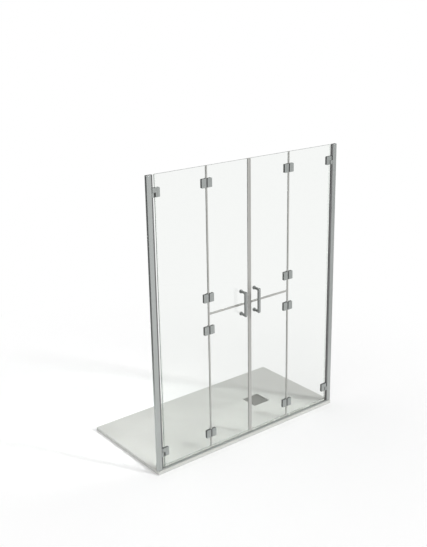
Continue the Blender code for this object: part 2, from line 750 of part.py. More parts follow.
def make_leaf_seals(name, side, leaves):
    centre_x = side * CENTRE_EDGE
    head = CENTRE_EDGE - web_reach() - CENTRE_MEETING_GAP / 2
    outline = channel_outline(CENTRE_SEAL_COVER, head, CENTRE_SEAL_HEAD_WIDTH)
    lower_end = LEAVES["lower"][1] + web_reach()
    upper_start = LEAVES["upper"][0] - web_reach() - SPLIT_SEAL_HEAD
    spans = {"lower": (upright_start(), lower_end), "upper": (upper_start, TOP_Z)}
    for level, (low, high) in spans.items():
        title = f"centre_seal_{level}_{name}"
        upright_seal(title, outline, centre_x, -side, low, high, seal_plastic, leaves[level])

    near = from_wall(side, FOLD_LINE + FOLD_EDGE_GAP / 2 + FOLD_SEAL_COVER + RUNNING_GAP)
    far = side * (CENTRE_EDGE + CENTRE_SEAL_COVER + RUNNING_GAP)
    split = channel_outline(SPLIT_SEAL_COVER, SPLIT_SEAL_HEAD, SPLIT_SEAL_HEAD_WIDTH)
    upper_foot = LEAVES["upper"][0]
    level_seal(f"split_seal_{name}", split, near, far, upper_foot, seal_plastic, leaves["upper"])
    lower_foot = LEAVES["lower"][0]
    title = f"drip_seal_leaf_{name}"
    level_seal(title, drip_outline(), near, far, lower_foot, seal_clear, leaves["lower"])


def make_wing(name, side):
    """Everything that hangs on one wall profile."""
    outer = axis_empty(f"axis_outer_{name}", (from_wall(side, WALL_AXIS), GLASS_Y, 0))
    fold_place = (from_wall(side, FOLD_LINE), GLASS_Y + FOLD_AXIS_BEHIND, 0)
    leaves = {level: axis_empty(f"axis_{level}_leaf_{name}", fold_place, outer) for level in LEAVES}
    make_outer_pane(name, side, outer)
    for level, leaf in leaves.items():
        make_leaf_glass(name, side, level, leaf)
    make_wall_hinges(name, side, outer)
    make_fold_hinges(name, side, outer, leaves)
    make_handle(name, side, leaves["upper"])
    make_outer_seals(name, side, outer)
    make_leaf_seals(name, side, leaves)


clear_scene()
parts = new_collection("shower_enclosure")
helpers = new_collection("cutters")
stone = new_material("pale_stone", (0.80, 0.80, 0.78), 0.0, 0.45)
satin_aluminium = new_material("satin_aluminium", (0.52, 0.54, 0.53), 1.0, 0.35)
satin_steel = new_material("satin_steel", (0.50, 0.52, 0.51), 1.0, 0.30)
brushed_steel = new_material("brushed_steel", (0.45, 0.46, 0.46), 1.0, 0.35)
dark_cover = new_material("dark_drain_cover", (0.21, 0.21, 0.20), 0.6, 0.45)
dark_rubber = new_material("dark_rubber", (0.12, 0.12, 0.12), 0.0, 0.70)
clear_glass = new_material("clear_glass", (0.93, 0.97, 0.95), 0.0, 0.02, 1.0)
seal_plastic = new_material("seal_plastic", (0.45, 0.45, 0.43), 0.0, 0.50)
seal_clear = new_material("clear_seal", (0.75, 0.77, 0.75), 0.0, 0.30, 0.5)

make_tray()
make_drain()
make_threshold()
for side_name, side_sign in SIDES.items():
    make_wall_profile(side_name, side_sign)
    make_profile_gasket(side_name, side_sign)
    make_wing(side_name, side_sign)
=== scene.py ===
import json
import math

import bmesh
import bpy
from mathutils import Matrix, Quaternion, Vector

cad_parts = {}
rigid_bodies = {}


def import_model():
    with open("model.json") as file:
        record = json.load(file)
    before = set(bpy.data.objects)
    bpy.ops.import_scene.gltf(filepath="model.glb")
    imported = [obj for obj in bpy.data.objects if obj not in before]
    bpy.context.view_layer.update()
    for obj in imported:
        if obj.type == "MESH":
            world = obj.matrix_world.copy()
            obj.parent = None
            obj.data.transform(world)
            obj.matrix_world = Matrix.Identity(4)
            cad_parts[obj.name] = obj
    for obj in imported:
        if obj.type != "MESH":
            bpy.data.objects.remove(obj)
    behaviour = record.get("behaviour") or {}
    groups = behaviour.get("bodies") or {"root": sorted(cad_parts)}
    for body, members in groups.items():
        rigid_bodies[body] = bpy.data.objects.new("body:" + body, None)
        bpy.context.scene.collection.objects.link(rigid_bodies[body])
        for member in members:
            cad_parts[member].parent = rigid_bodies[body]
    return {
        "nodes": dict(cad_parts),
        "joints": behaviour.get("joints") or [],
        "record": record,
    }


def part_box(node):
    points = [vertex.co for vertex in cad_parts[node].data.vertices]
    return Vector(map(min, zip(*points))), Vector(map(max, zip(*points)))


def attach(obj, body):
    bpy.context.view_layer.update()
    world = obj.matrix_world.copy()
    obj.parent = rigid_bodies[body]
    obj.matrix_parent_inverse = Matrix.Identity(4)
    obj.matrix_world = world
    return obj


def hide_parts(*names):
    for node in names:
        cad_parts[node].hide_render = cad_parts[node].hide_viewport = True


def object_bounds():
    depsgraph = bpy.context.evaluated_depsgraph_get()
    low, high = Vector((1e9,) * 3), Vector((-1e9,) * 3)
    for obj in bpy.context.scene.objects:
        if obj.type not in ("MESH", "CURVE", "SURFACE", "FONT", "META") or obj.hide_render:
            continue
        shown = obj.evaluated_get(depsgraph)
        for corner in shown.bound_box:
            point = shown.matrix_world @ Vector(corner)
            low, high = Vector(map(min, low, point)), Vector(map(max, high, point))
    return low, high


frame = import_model()
cad_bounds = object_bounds()

# Camera, from the photographed view
IMAGE_WIDTH_PX = 427
IMAGE_HEIGHT_PX = 547
FOCAL_LENGTH_PX = 874.6
VIEW_CENTRE_X_PX = 253.05
VIEW_CENTRE_Y_PX = 255.37
SENSOR_MM = 36.0
CAMERA_PLACE = (-3.590, -4.687, 3.151)
CAMERA_TURN = 40.11
CAMERA_TILT = -17.71
CAMERA_ROLL = -0.16

# Studio
KEY_TURN = 149.6
KEY_HEIGHT = 35.0
KEY_STRENGTH = 1.3
KEY_SPREAD = 6.0
DOME_TOP_LIGHT = 0.95
DOME_SIDE_LIGHT = 0.45
FLOOR_RADIUS = 14.0
FLOOR_STEPS = 96
FLOOR_FADE_START = 1.0
FLOOR_FADE_END = 3.0
FLOOR_TONE = 0.96
FLOOR_SHINE = 0.1
FLOOR_ROUGHNESS = 0.9

# Dark screen
SCREEN_RADIUS = 1.7
SCREEN_TOP = 4.0
SCREEN_START = -115.0
SCREEN_END = 121.0
SCREEN_STEPS = 48
SCREEN_TONE = 0.2

# Clamps and hinges
PLATE_INSET = 0.005
PLATE_CORNER = 0.004
PLATE_EDGE = 0.0009
LINING_THICKNESS = 0.0012
LINING_INSET = 0.0006
LIP_THICKNESS = 0.0012
LIP_OVERLAP = 0.0005
SEAT_GAP = 0.0003
BOSS_RADIUS = 0.0066
BOSS_SINK = 0.002
KNUCKLE_CLEARANCE = 0.0005
KNUCKLE_CHAMFER = 0.0005
KNUCKLE_END_INSET = 0.0004
MIDDLE_KNUCKLE_HEIGHT = 0.020
ARM_INSET = 0.0003
ARM_BACK_INSET = 0.001
BORE_RADIUS = 0.0028
WALL_BACK = 0.0127
WALL_BASE_THICKNESS = 0.0022
WALL_HALF_GAP = 0.00025
WALL_PLATE_NEAR = 0.016
WALL_PLATE_FAR = 0.047
WALL_GLASS_EDGE = 0.013
WALL_PIN_RADIUS = 0.004
WALL_PIN_SHORT = 0.003
WALL_BORE_RADIUS = 0.0043
BARREL_SINK = 0.0002
PIN_RADIUS = 0.0025
PIN_DOME = 0.0015

# Clamp screws
SCREW_RADIUS = 0.0042
SCREW_GAP = 0.0002
SCREW_RECESS = 0.0016
SCREW_SINK = 0.0003
SCREW_HEAD = 0.0011
SCREW_EDGE = 0.0003
HEX_SOCKET_RADIUS = 0.0022
HEX_SOCKET_DEPTH = 0.0008
HEX_SIDES = 6

# Handles
BAR_RADIUS = 0.011
BAR_DOME = 0.007
BAR_OVERHANG = 0.0095
ARM_RADIUS_AT_FOOT = 0.0088
ARM_SWELL = 0.0012
ARM_STEPS = 6
FOOT_THICKNESS = 0.007
FOOT_EDGE = 0.0012
STUD_RADIUS = 0.004
CAP_RADIUS = 0.008
CAP_THICKNESS = 0.0025
CAP_EDGE = 0.0008

# Seals
SEAL_TIP_PROUD = 0.0015
SEAL_ROOT_PROUD = 0.0009
SEAL_HEAD_PROUD = 0.0005
SEAL_GRIP = 0.0003
SEAL_WEB = 0.0014
SEAL_EDGE_GAP = 0.0004
SEAL_NOTCH_BITE = 0.0002
SEAL_NOTCH_DEPTH = 0.008
HINGE_NOTCH_GAP = 0.0005
WALL_SEAL_COVER = 0.008
WALL_SEAL_FIN = 0.0014
WALL_SEAL_PROUD = 0.0012
WALL_SEAL_END_GAP = 0.0012

# Drain cover and profile plugs
COVER_THICKNESS = 0.004
COVER_BORDER = 0.007
COVER_GROOVE = 0.0012
COVER_GROOVE_DEPTH = 0.0012
COVER_EDGE = 0.0006
COVER_FOOT_RADIUS = 0.005
COVER_FOOT_INSET = 0.012
PROFILE_WALL = 0.0018
PLUG_THICKNESS = 0.004
PLUG_SINK = 0.0006
PLUG_GAP = 0.0003

# Surface grain, with sizes along X, Y and Z
BRUSH_LINE = (0.0006, 0.0006, 0.08)
DRAWN_LINE = (0.0006, 0.0006, 0.2)
DRAWN_BAND = (0.009, 0.009, 0.9)
PLATE_BAND = (0.007, 0.007, 0.3)
ROD_BAND = (0.005, 0.005, 0.3)
SMUDGE_SIZE = (0.09, 0.09, 0.14)
FILM_SIZE = (0.05, 0.05, 0.11)
STONE_GRAIN = (0.003, 0.003, 0.003)
STONE_CLOUD = (0.3, 0.3, 0.3)
COVER_GRAIN = (0.002, 0.002, 0.002)
COVER_CLOUD = (0.1, 0.1, 0.1)
RUBBER_GRAIN = (0.001, 0.001, 0.02)
RUBBER_CLOUD = (0.1, 0.1, 0.3)
SEAL_GRAIN = (0.001, 0.001, 0.03)
SEAL_CLOUD = (0.1, 0.1, 0.4)
CLEAR_GRAIN = (0.002, 0.002, 0.03)
CLEAR_CLOUD = (0.1, 0.1, 0.2)

# Surface bumps and noise
STONE_BUMP = 0.0002
FINE_BUMP = 0.0001
SMOOTH_BUMP = 0.00005
BRUSH_BUMP_STRENGTH = 0.15
MATT_BUMP_STRENGTH = 0.3
CLEAR_BUMP_STRENGTH = 0.2
FINE_DETAIL = 4.0
SOFT_DETAIL = 3.0
BROAD_DETAIL = 2.0
SPECKLE_LIMITS = (0.38, 0.62)
SURFACE_OUTPUTS = (
    ("Colour", "NodeSocketColor"),
    ("Roughness", "NodeSocketFloat"),
    ("Height", "NodeSocketFloat"),
)

# Facets
OVERRUN = 0.002
WELD = 0.000002
CORNER_STEPS = 6
EDGE_STEPS = 2
ROUND_STEPS = 48
SMALL_ROUND_STEPS = 32
HARD_ANGLE = 50.0
SMOOTH_ANGLE = 32.0

SIDES = {"left": -1, "right": 1}
LEVELS = ("lower", "upper")
ENDS = ("bottom", "top")


# Places read from the frame


def joint_place(name):
    return Vector(next(joint["pos_m"] for joint in frame["joints"] if joint["name"] == name))


GLASS_LOW, GLASS_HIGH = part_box("upper_leaf_left")
GLASS_Y = (GLASS_LOW.y + GLASS_HIGH.y) / 2
GLASS_HALF = (GLASS_HIGH.y - GLASS_LOW.y) / 2
HALF_LOW, HALF_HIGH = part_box("fold_hinge_outer_upper_top_right")
FOLD_AXIS = joint_place("inner_leaf_upper_right_fold")
FOLD_X = FOLD_AXIS.x
FOLD_AXIS_BEHIND = FOLD_AXIS.y - GLASS_Y
FOLD_KNUCKLE_RADIUS = HALF_HIGH.y - FOLD_AXIS.y
FOLD_REACH = HALF_HIGH.x - FOLD_X
FOLD_GLASS_EDGE = GLASS_LOW.x + FOLD_X
HINGE_HALF = (HALF_HIGH.z - HALF_LOW.z) / 2
CLAMP_HALF = GLASS_Y - HALF_LOW.y
WALL_X = joint_place("outer_door_right_swing").x


# Camera, light and backdrop


def direction_of(turn, height):
    """Unit vector at a turn from +Y towards +X and a height above the horizon, both in degrees."""
    turn, height = math.radians(turn), math.radians(height)
    across = math.cos(height)
    return Vector((math.sin(turn) * across, math.cos(turn) * across, math.sin(height)))


def make_camera():
    data = bpy.data.cameras.new("photo_camera")
    camera = bpy.data.objects.new("photo_camera", data)
    bpy.context.scene.collection.objects.link(camera)
    data.sensor_width = SENSOR_MM
    data.lens = FOCAL_LENGTH_PX / IMAGE_HEIGHT_PX * SENSOR_MM
    data.shift_x = (IMAGE_WIDTH_PX / 2 - VIEW_CENTRE_X_PX) / IMAGE_HEIGHT_PX
    data.shift_y = (VIEW_CENTRE_Y_PX - IMAGE_HEIGHT_PX / 2) / IMAGE_HEIGHT_PX
    camera.location = CAMERA_PLACE
    camera.rotation_mode = "QUATERNION"
    looking = direction_of(CAMERA_TURN, CAMERA_TILT).to_track_quat("-Z", "Y")
    camera.rotation_quaternion = looking @ Quaternion((0, 0, 1), math.radians(CAMERA_ROLL))
    bpy.context.scene.camera = camera


def make_key_light():
    data = bpy.data.lights.new("key_light", "SUN")
    data.energy = KEY_STRENGTH
    data.angle = math.radians(KEY_SPREAD)
    light = bpy.data.objects.new("key_light", data)
    bpy.context.scene.collection.objects.link(light)
    light.rotation_mode = "QUATERNION"
    light.rotation_quaternion = (-direction_of(KEY_TURN, KEY_HEIGHT)).to_track_quat("-Z", "Y")


# Shader building


def math_node(tree, operation, first, second=None):
    """The result of one sum on sockets or numbers."""
    made = tree.nodes.new("ShaderNodeMath")
    made.operation = operation
    for socket, value in zip(made.inputs, (first, second)):
        if isinstance(value, bpy.types.NodeSocket):
            tree.links.new(value, socket)
        elif value is not None:
            socket.default_value = value
    return made.outputs[0]


def ramp(tree, value, low, high, start=0.0, end=1.0):
    """value, moved from the range low..high to start..end and held there."""
    made = tree.nodes.new("ShaderNodeMapRange")
    tree.links.new(value, made.inputs["Value"])
    for title, number in (("From Min", low), ("From Max", high), ("To Min", start), ("To Max", end)):
        if isinstance(number, bpy.types.NodeSocket):
            tree.links.new(number, made.inputs[title])
        else:
            made.inputs[title].default_value = number
    return made.outputs["Result"]


def mix_colours(tree, share, first, second, blend="MIX"):
    made = tree.nodes.new("ShaderNodeMix")
    made.data_type = "RGBA"
    made.blend_type = blend
    for socket, value in ((made.inputs[0], share), (made.inputs[6], first), (made.inputs[7], second)):
        if isinstance(value, bpy.types.NodeSocket):
            tree.links.new(value, socket)
        else:
            socket.default_value = value
    return made.outputs[2]


def new_group(name, inputs, outputs):
    """A shader node group with these inputs and outputs, each given by its title and kind."""
    group = bpy.data.node_groups.new(name, "ShaderNodeTree")
    for way, sockets in (("INPUT", inputs), ("OUTPUT", outputs)):
        for title, kind in sockets:
            group.interface.new_socket(name=title, in_out=way, socket_type=kind)
    return group, group.nodes.new("NodeGroupInput").outputs, group.nodes.new("NodeGroupOutput").inputs


def surface_noise(tree, grain_size, detail):
    """Noise over the piece's own space, with a grain of the given size."""
    place = tree.nodes.new("ShaderNodeTexCoord")
    scaled = tree.nodes.new("ShaderNodeVectorMath")
    scaled.operation = "DIVIDE"
    tree.links.new(place.outputs["Object"], scaled.inputs[0])
    if isinstance(grain_size, bpy.types.NodeSocket):
        tree.links.new(grain_size, scaled.inputs[1])
    else:
        scaled.inputs[1].default_value = grain_size
    noise = tree.nodes.new("ShaderNodeTexNoise")
    noise.inputs["Scale"].default_value = 1.0
    noise.inputs["Detail"].default_value = detail
    tree.links.new(scaled.outputs[0], noise.inputs["Vector"])
    return noise.outputs["Fac"]


def brushed_grain_group():
    """Brushing lines with broad bands and smudges: tones, roughness and height."""
    group, given, wanted = new_group(
        "brushed_grain",
        [
            ("Colour", "NodeSocketColor"),
            ("Line Size", "NodeSocketVector"),
            ("Band Size", "NodeSocketVector"),
            ("Contrast", "NodeSocketFloat"),
            ("Roughness", "NodeSocketFloat"),
        ],
        SURFACE_OUTPUTS,
    )
    lines = surface_noise(group, given["Line Size"], SOFT_DETAIL)
    bands = surface_noise(group, given["Band Size"], BROAD_DETAIL)
    smudges = surface_noise(group, SMUDGE_SIZE, SOFT_DETAIL)
    half = 0.5
    full_swing = 4.0
    both = math_node(group, "MULTIPLY_ADD", lines, half)
    group.links.new(math_node(group, "MULTIPLY", bands, half), both.node.inputs[2])
    swing = math_node(group, "MULTIPLY", math_node(group, "SUBTRACT", both, half), full_swing)
    tone = math_node(group, "MULTIPLY_ADD", swing, given["Contrast"])
    tone.node.inputs[2].default_value = 1.0
    grey = group.nodes.new("ShaderNodeCombineColor")
    for channel in grey.inputs[:3]:
        group.links.new(tone, channel)
    coloured = mix_colours(group, 1.0, given["Colour"], grey.outputs[0], "MULTIPLY")
    group.links.new(coloured, wanted["Colour"])
    smudge_spread = ramp(group, smudges, low=0.35, high=0.65, start=-0.05, end=0.07)
    line_spread = ramp(group, lines, low=0.3, high=0.7, start=-0.05, end=0.05)
    rough = math_node(group, "ADD", given["Roughness"], smudge_spread)
    rough = math_node(group, "ADD", rough, line_spread)
    group.links.new(rough, wanted["Roughness"])
    group.links.new(lines, wanted["Height"])
    return group


def speckle_group():
    """Fine grain over soft clouds, for stone, rubber and plastic."""
    group, given, wanted = new_group(
        "fine_speckle",
        [
            ("Light", "NodeSocketColor"),
            ("Dark", "NodeSocketColor"),
            ("Grain Size", "NodeSocketVector"),
            ("Cloud Size", "NodeSocketVector"),
            ("Roughness", "NodeSocketFloat"),
        ],
        SURFACE_OUTPUTS,
    )
    grain = surface_noise(group, given["Grain Size"], FINE_DETAIL)
    clouds = surface_noise(group, given["Cloud Size"], SOFT_DETAIL)
    half = 0.5
    both = math_node(group, "MULTIPLY", math_node(group, "ADD", grain, clouds), half)
    share = ramp(group, both, *SPECKLE_LIMITS)
    group.links.new(mix_colours(group, share, given["Dark"], given["Light"]), wanted["Colour"])
    spread = ramp(group, both, *SPECKLE_LIMITS, start=-0.06, end=0.06)
    rough = math_node(group, "ADD", given["Roughness"], spread)
    group.links.new(rough, wanted["Roughness"])
    group.links.new(grain, wanted["Height"])
    return group


def edge_mask_group():
    """A mask that is 1 on the narrow edges of a pane or plate and 0 on its two faces: it paints shade on the
    edges of the metals, and gives the glass its ground edges.
    """
    group, _, wanted = new_group("edge_mask", [], [("Edge", "NodeSocketFloat")])
    place = group.nodes.new("ShaderNodeTexCoord")
    parts = group.nodes.new("ShaderNodeSeparateXYZ")
    group.links.new(place.outputs["Normal"], parts.inputs[0])
    facing = math_node(group, "ABSOLUTE", parts.outputs["Y"])
    mask = ramp(group, facing, low=0.5, high=0.9, start=1.0, end=0.0)
    group.links.new(mask, wanted["Edge"])
    return group


def new_material(name, **constants):
    """A Principled material with the given plain socket values, and its tree and shader."""
    material = bpy.data.materials.new(name)
    material.use_nodes = True
    shader = material.node_tree.nodes["Principled BSDF"]
    for title, value in constants.items():
        shader.inputs[title.replace("_", " ")].default_value = value
    return material, material.node_tree, shader


def place_group(tree, shader, group, bump_strength, bump_depth, **values):
    """Places a surface group in a material: its colour, roughness and height feed the shader."""
    made = tree.nodes.new("ShaderNodeGroup")
    made.node_tree = group
    for title, value in values.items():
        made.inputs[title.replace("_", " ")].default_value = value
    tree.links.new(made.outputs["Colour"], shader.inputs["Base Color"])
    tree.links.new(made.outputs["Roughness"], shader.inputs["Roughness"])
    bump = tree.nodes.new("ShaderNodeBump")
    bump.inputs["Strength"].default_value = bump_strength
    bump.inputs["Distance"].default_value = bump_depth
    tree.links.new(made.outputs["Height"], bump.inputs["Height"])
    tree.links.new(bump.outputs["Normal"], shader.inputs["Normal"])
    return made


def place_edge_mask(tree):
    """Places the edge mask in a material and gives its result."""
    made = tree.nodes.new("ShaderNodeGroup")
    made.node_tree = edge_mask
    return made.outputs["Edge"]


def metal(name, colour, line_size, band_size, contrast, roughness, edges=None):
    """Brushed metal; where an edge colour is given, the narrow edges take it as painted shade."""
    material, tree, shader = new_material(name, Metallic=1.0)
    grain = place_group(
        tree,
        shader,
        brushed_grain,
        BRUSH_BUMP_STRENGTH,
        SMOOTH_BUMP,
        Colour=(*colour, 1.0),
        Line_Size=line_size,
        Band_Size=band_size,
        Contrast=contrast,
        Roughness=roughness,
    )
    # Painted shade: the narrow edges take the darker edge colour through the edge mask.
    if edges:
        toned = mix_colours(tree, place_edge_mask(tree), (*colour, 1.0), (*edges, 1.0))
        tree.links.new(toned, grain.inputs["Colour"])
    return material


def matt(name, light, dark, grain_size, cloud_size, roughness, bump_depth):
    """Stone, rubber or plastic that lets no light through."""
    material, tree, shader = new_material(name)
    place_group(
        tree,
        shader,
        speckle,
        MATT_BUMP_STRENGTH,
        bump_depth,
        Light=(*light, 1.0),
        Dark=(*dark, 1.0),
        Grain_Size=grain_size,
        Cloud_Size=cloud_size,
        Roughness=roughness,
    )
    return material


def lamps_pass(material, tint):
    """Lets light from lamps through to what stands behind a clear piece."""
    tree = material.node_tree
    output = tree.nodes["Material Output"]
    shader = tree.nodes["Principled BSDF"]
    path = tree.nodes.new("ShaderNodeLightPath")
    through = tree.nodes.new("ShaderNodeBsdfTransparent")
    through.inputs["Color"].default_value = (*tint, 1.0)
    mixed = tree.nodes.new("ShaderNodeMixShader")
    tree.links.new(path.outputs["Is Shadow Ray"], mixed.inputs[0])
    tree.links.new(shader.outputs[0], mixed.inputs[1])
    tree.links.new(through.outputs[0], mixed.inputs[2])
    tree.links.new(mixed.outputs[0], output.inputs["Surface"])


def stone_resin():
    """Matt cast stone of the tray."""
    light = (0.615, 0.62, 0.595)
    dark = (0.565, 0.57, 0.545)
    return matt("stone_resin", light, dark, STONE_GRAIN, STONE_CLOUD, roughness=0.5, bump_depth=STONE_BUMP)


def satin_aluminium():
    """Drawn profile: fine lines along its length."""
    tone = (0.44, 0.46, 0.45)
    return metal("satin_aluminium", tone, DRAWN_LINE, DRAWN_BAND, contrast=0.08, roughness=0.35)


def satin_steel():
    """Hinges: upright brushing with soft bands; the narrow edges of the plates are darkened as painted
    shade.
    """
    faces = (0.38, 0.40, 0.39)
    # edges: painted shade on every face that doesn't look to the front or back
    edges = (0.16, 0.17, 0.165)
    return metal("satin_steel", faces, BRUSH_LINE, PLATE_BAND, contrast=0.2, roughness=0.32, edges=edges)


def handle_steel_painted_shade():
    """Handles: the same brushing in a darker tone that is painted shade, with painted shade also on the
    sides of the bars, arms, feet and caps.
    """
    # faces: darkened as painted shade; edges: painted shade on the sides
    faces = (0.36, 0.375, 0.37)
    edges = (0.23, 0.24, 0.235)
    return metal("handle_steel_painted_shade", faces, BRUSH_LINE, ROD_BAND, contrast=0.12, roughness=0.30, edges=edges)


def brushed_steel():
    """Pins, screws and waste flange."""
    tone = (0.45, 0.46, 0.46)
    return metal("brushed_steel", tone, BRUSH_LINE, ROD_BAND, contrast=0.1, roughness=0.3)


def dark_cover():
    """Dark grey coating of the drain cover."""
    light = (0.205, 0.205, 0.187)
    dark = (0.175, 0.175, 0.16)
    return matt("dark_cover", light, dark, COVER_GRAIN, COVER_CLOUD, roughness=0.45, bump_depth=FINE_BUMP)


def dark_rubber():
    light = (0.15, 0.15, 0.15)
    dark = (0.12, 0.12, 0.12)
    return matt("dark_rubber", light, dark, RUBBER_GRAIN, RUBBER_CLOUD, roughness=0.6, bump_depth=FINE_BUMP)


def seal_plastic():
    light = (0.46, 0.46, 0.44)
    dark = (0.41, 0.41, 0.39)
    return matt("seal_plastic", light, dark, SEAL_GRAIN, SEAL_CLOUD, roughness=0.4, bump_depth=FINE_BUMP)


def clear_glass():
    """Clear glass with ground edges."""
    material, tree, shader = new_material("clear_glass", IOR=1.5, Transmission_Weight=1.0)
    faces = (0.915, 0.93, 0.915, 1.0)
    edges = (0.50, 0.64, 0.59, 1.0)
    edge_roughness = 0.3
    lamp_tint = (0.94, 0.96, 0.95)
    edge = place_edge_mask(tree)
    tree.links.new(mix_colours(tree, edge, faces, edges), shader.inputs["Base Color"])
    film = surface_noise(tree, FILM_SIZE, SOFT_DETAIL)
    face_roughness = ramp(tree, film, low=0.4, high=0.7, start=0.0, end=0.012)
    roughness = math_node(tree, "MULTIPLY_ADD", edge, edge_roughness)
    tree.links.new(face_roughness, roughness.node.inputs[2])
    tree.links.new(roughness, shader.inputs["Roughness"])
    lamps_pass(material, lamp_tint)
    return material


def clear_plastic(name, light, dark, transmission, bending, roughness):
    """Clear soft plastic, milky where less light passes."""
    lamp_tint = (0.75, 0.77, 0.76)
    material, tree, shader = new_material(name, IOR=bending, Transmission_Weight=transmission)
    place_group(
        tree,
        shader,
        speckle,
        CLEAR_BUMP_STRENGTH,
        SMOOTH_BUMP,
        Light=(*light, 1.0),
        Dark=(*dark, 1.0),
        Grain_Size=CLEAR_GRAIN,
        Cloud_Size=CLEAR_CLOUD,
        Roughness=roughness,
    )
    lamps_pass(material, lamp_tint)
    return material


def milky_seal_plastic():
    """Drip seals under the doors."""
    light = (0.67, 0.69, 0.66)
    dark = (0.63, 0.65, 0.62)
    return clear_plastic("milky_seal_plastic", light, dark, transmission=0.42, bending=1.2, roughness=0.25)


def clear_seal_plastic():
    """Seals between the doors and the wall profiles."""
    light = (0.98, 0.99, 0.98)
    dark = (0.95, 0.96, 0.95)
    return clear_plastic("clear_seal_plastic", light, dark, transmission=1.0, bending=1.05, roughness=0.03)


def floor_material():
    """Pale floor that fades to the white of the backdrop away from the object."""
    material, tree, shader = new_material("studio_floor", Roughness=FLOOR_ROUGHNESS)
    shader.inputs["Base Color"].default_value = (FLOOR_TONE, FLOOR_TONE, FLOOR_TONE, 1.0)
    shader.inputs["Specular IOR Level"].default_value = FLOOR_SHINE
    place = tree.nodes.new("ShaderNodeTexCoord")
    length = tree.nodes.new("ShaderNodeVectorMath")
    length.operation = "LENGTH"
    tree.links.new(place.outputs["Object"], length.inputs[0])
    fade = tree.nodes.new("ShaderNodeMapRange")
    fade.interpolation_type = "SMOOTHSTEP"
    fade.inputs["From Min"].default_value = FLOOR_FADE_START
    fade.inputs["From Max"].default_value = FLOOR_FADE_END
    tree.links.new(length.outputs["Value"], fade.inputs["Value"])
    share = math_node(tree, "MULTIPLY", fade.outputs["Result"], seen_by_eye_or_shine(tree))
    white = tree.nodes.new("ShaderNodeEmission")
    mixed = tree.nodes.new("ShaderNodeMixShader")
    tree.links.new(share, mixed.inputs[0])
    tree.links.new(shader.outputs[0], mixed.inputs[1])
    tree.links.new(white.outputs[0], mixed.inputs[2])
    tree.links.new(mixed.outputs[0], tree.nodes["Material Output"].inputs["Surface"])
    return material


def seen_by_eye_or_shine(tree):
    """1 for rays from the camera, and for those that reflections and glass send on."""
    path = tree.nodes.new("ShaderNodeLightPath")
    first = math_node(tree, "MAXIMUM", path.outputs["Is Camera Ray"], path.outputs["Is Glossy Ray"])
    return math_node(tree, "MAXIMUM", first, path.outputs["Is Transmission Ray"])


def make_world():
    """Soft dome, brighter overhead, which shows white to the eye and in reflections."""
    world = bpy.data.worlds.new("studio_dome")
    world.use_nodes = True
    bpy.context.scene.world = world
    tree = world.node_tree
    place = tree.nodes.new("ShaderNodeTexCoord")
    parts = tree.nodes.new("ShaderNodeSeparateXYZ")
    tree.links.new(place.outputs["Generated"], parts.inputs[0])
    light = ramp(tree, parts.outputs["Z"], 0.0, 1.0, DOME_SIDE_LIGHT, DOME_TOP_LIGHT)
    seen = seen_by_eye_or_shine(tree)
    strength = ramp(tree, seen, 0.0, 1.0, light, 1.0)
    background = tree.nodes["Background"]
    background.inputs["Color"].default_value = (1.0, 1.0, 1.0, 1.0)
    tree.links.new(strength, background.inputs["Strength"])


def make_floor():
    bm = bmesh.new()
    bmesh.ops.create_circle(bm, cap_ends=True, radius=FLOOR_RADIUS, segments=FLOOR_STEPS)
    mesh = bpy.data.meshes.new("floor")
    bm.to_mesh(mesh)
    bm.free()
    floor = bpy.data.objects.new("floor", mesh)
    floor.location = (0, 0, cad_bounds[0].z)
    floor.data.materials.append(floor_material())
    bpy.context.scene.collection.objects.link(floor)


def make_dark_screen():
    """Curved screen round the left and the back that shows only in the metal."""
    material, _, shader = new_material("dark_screen", Roughness=1.0)
    shader.inputs["Base Color"].default_value = (SCREEN_TONE, SCREEN_TONE, SCREEN_TONE, 1.0)
    bm = bmesh.new()
    edges = []
    for step in range(SCREEN_STEPS + 1):
        turn = SCREEN_START + (SCREEN_END - SCREEN_START) * step / SCREEN_STEPS
        foot = SCREEN_RADIUS * direction_of(turn, 0)
        edges.append((bm.verts.new(foot), bm.verts.new(foot + Vector((0, 0, SCREEN_TOP)))))
    for (foot, head), (next_foot, next_head) in zip(edges, edges[1:]):
        bm.faces.new((foot, next_foot, next_head, head))
    mesh = bpy.data.meshes.new("screen")
    bm.to_mesh(mesh)
    bm.free()
    mesh.materials.append(material)
    screen = bpy.data.objects.new("dark_screen", mesh)
    bpy.context.scene.collection.objects.link(screen)
    for sight in ("visible_camera", "visible_diffuse", "visible_transmission", "visible_shadow"):
        setattr(screen, sight, False)


# Solid building


def helper(bm):
    """An object that only lends its mesh to the pieces."""
    bmesh.ops.recalc_face_normals(bm, faces=bm.faces[:])
    mesh = bpy.data.meshes.new("helper")
    bm.to_mesh(mesh)
    bm.free()
    made = bpy.data.objects.new("helper", mesh)
    bpy.context.scene.collection.objects.link(made)
    return made


def prism(outline, low, high, axis="Z"):
    """An outline drawn square to the axis and pulled along it from low to high."""
    place = {
        "X": lambda a, b, along: (along, a, b),
        "Y": lambda a, b, along: (a, along, b),
        "Z": lambda a, b, along: (a, b, along),
    }[axis]
    bm = bmesh.new()
    near = [bm.verts.new(place(a, b, low)) for a, b in outline]
    far = [bm.verts.new(place(a, b, high)) for a, b in outline]
    bm.faces.new(near)
    bm.faces.new(far)
    for step in range(len(outline)):
        after = (step + 1) % len(outline)
        bm.faces.new((near[step], near[after], far[after], far[step]))
    return helper(bm)


def box(low, high):
    outline = [(low[0], low[1]), (high[0], low[1]), (high[0], high[1]), (low[0], high[1])]
    return prism(outline, low[2], high[2])


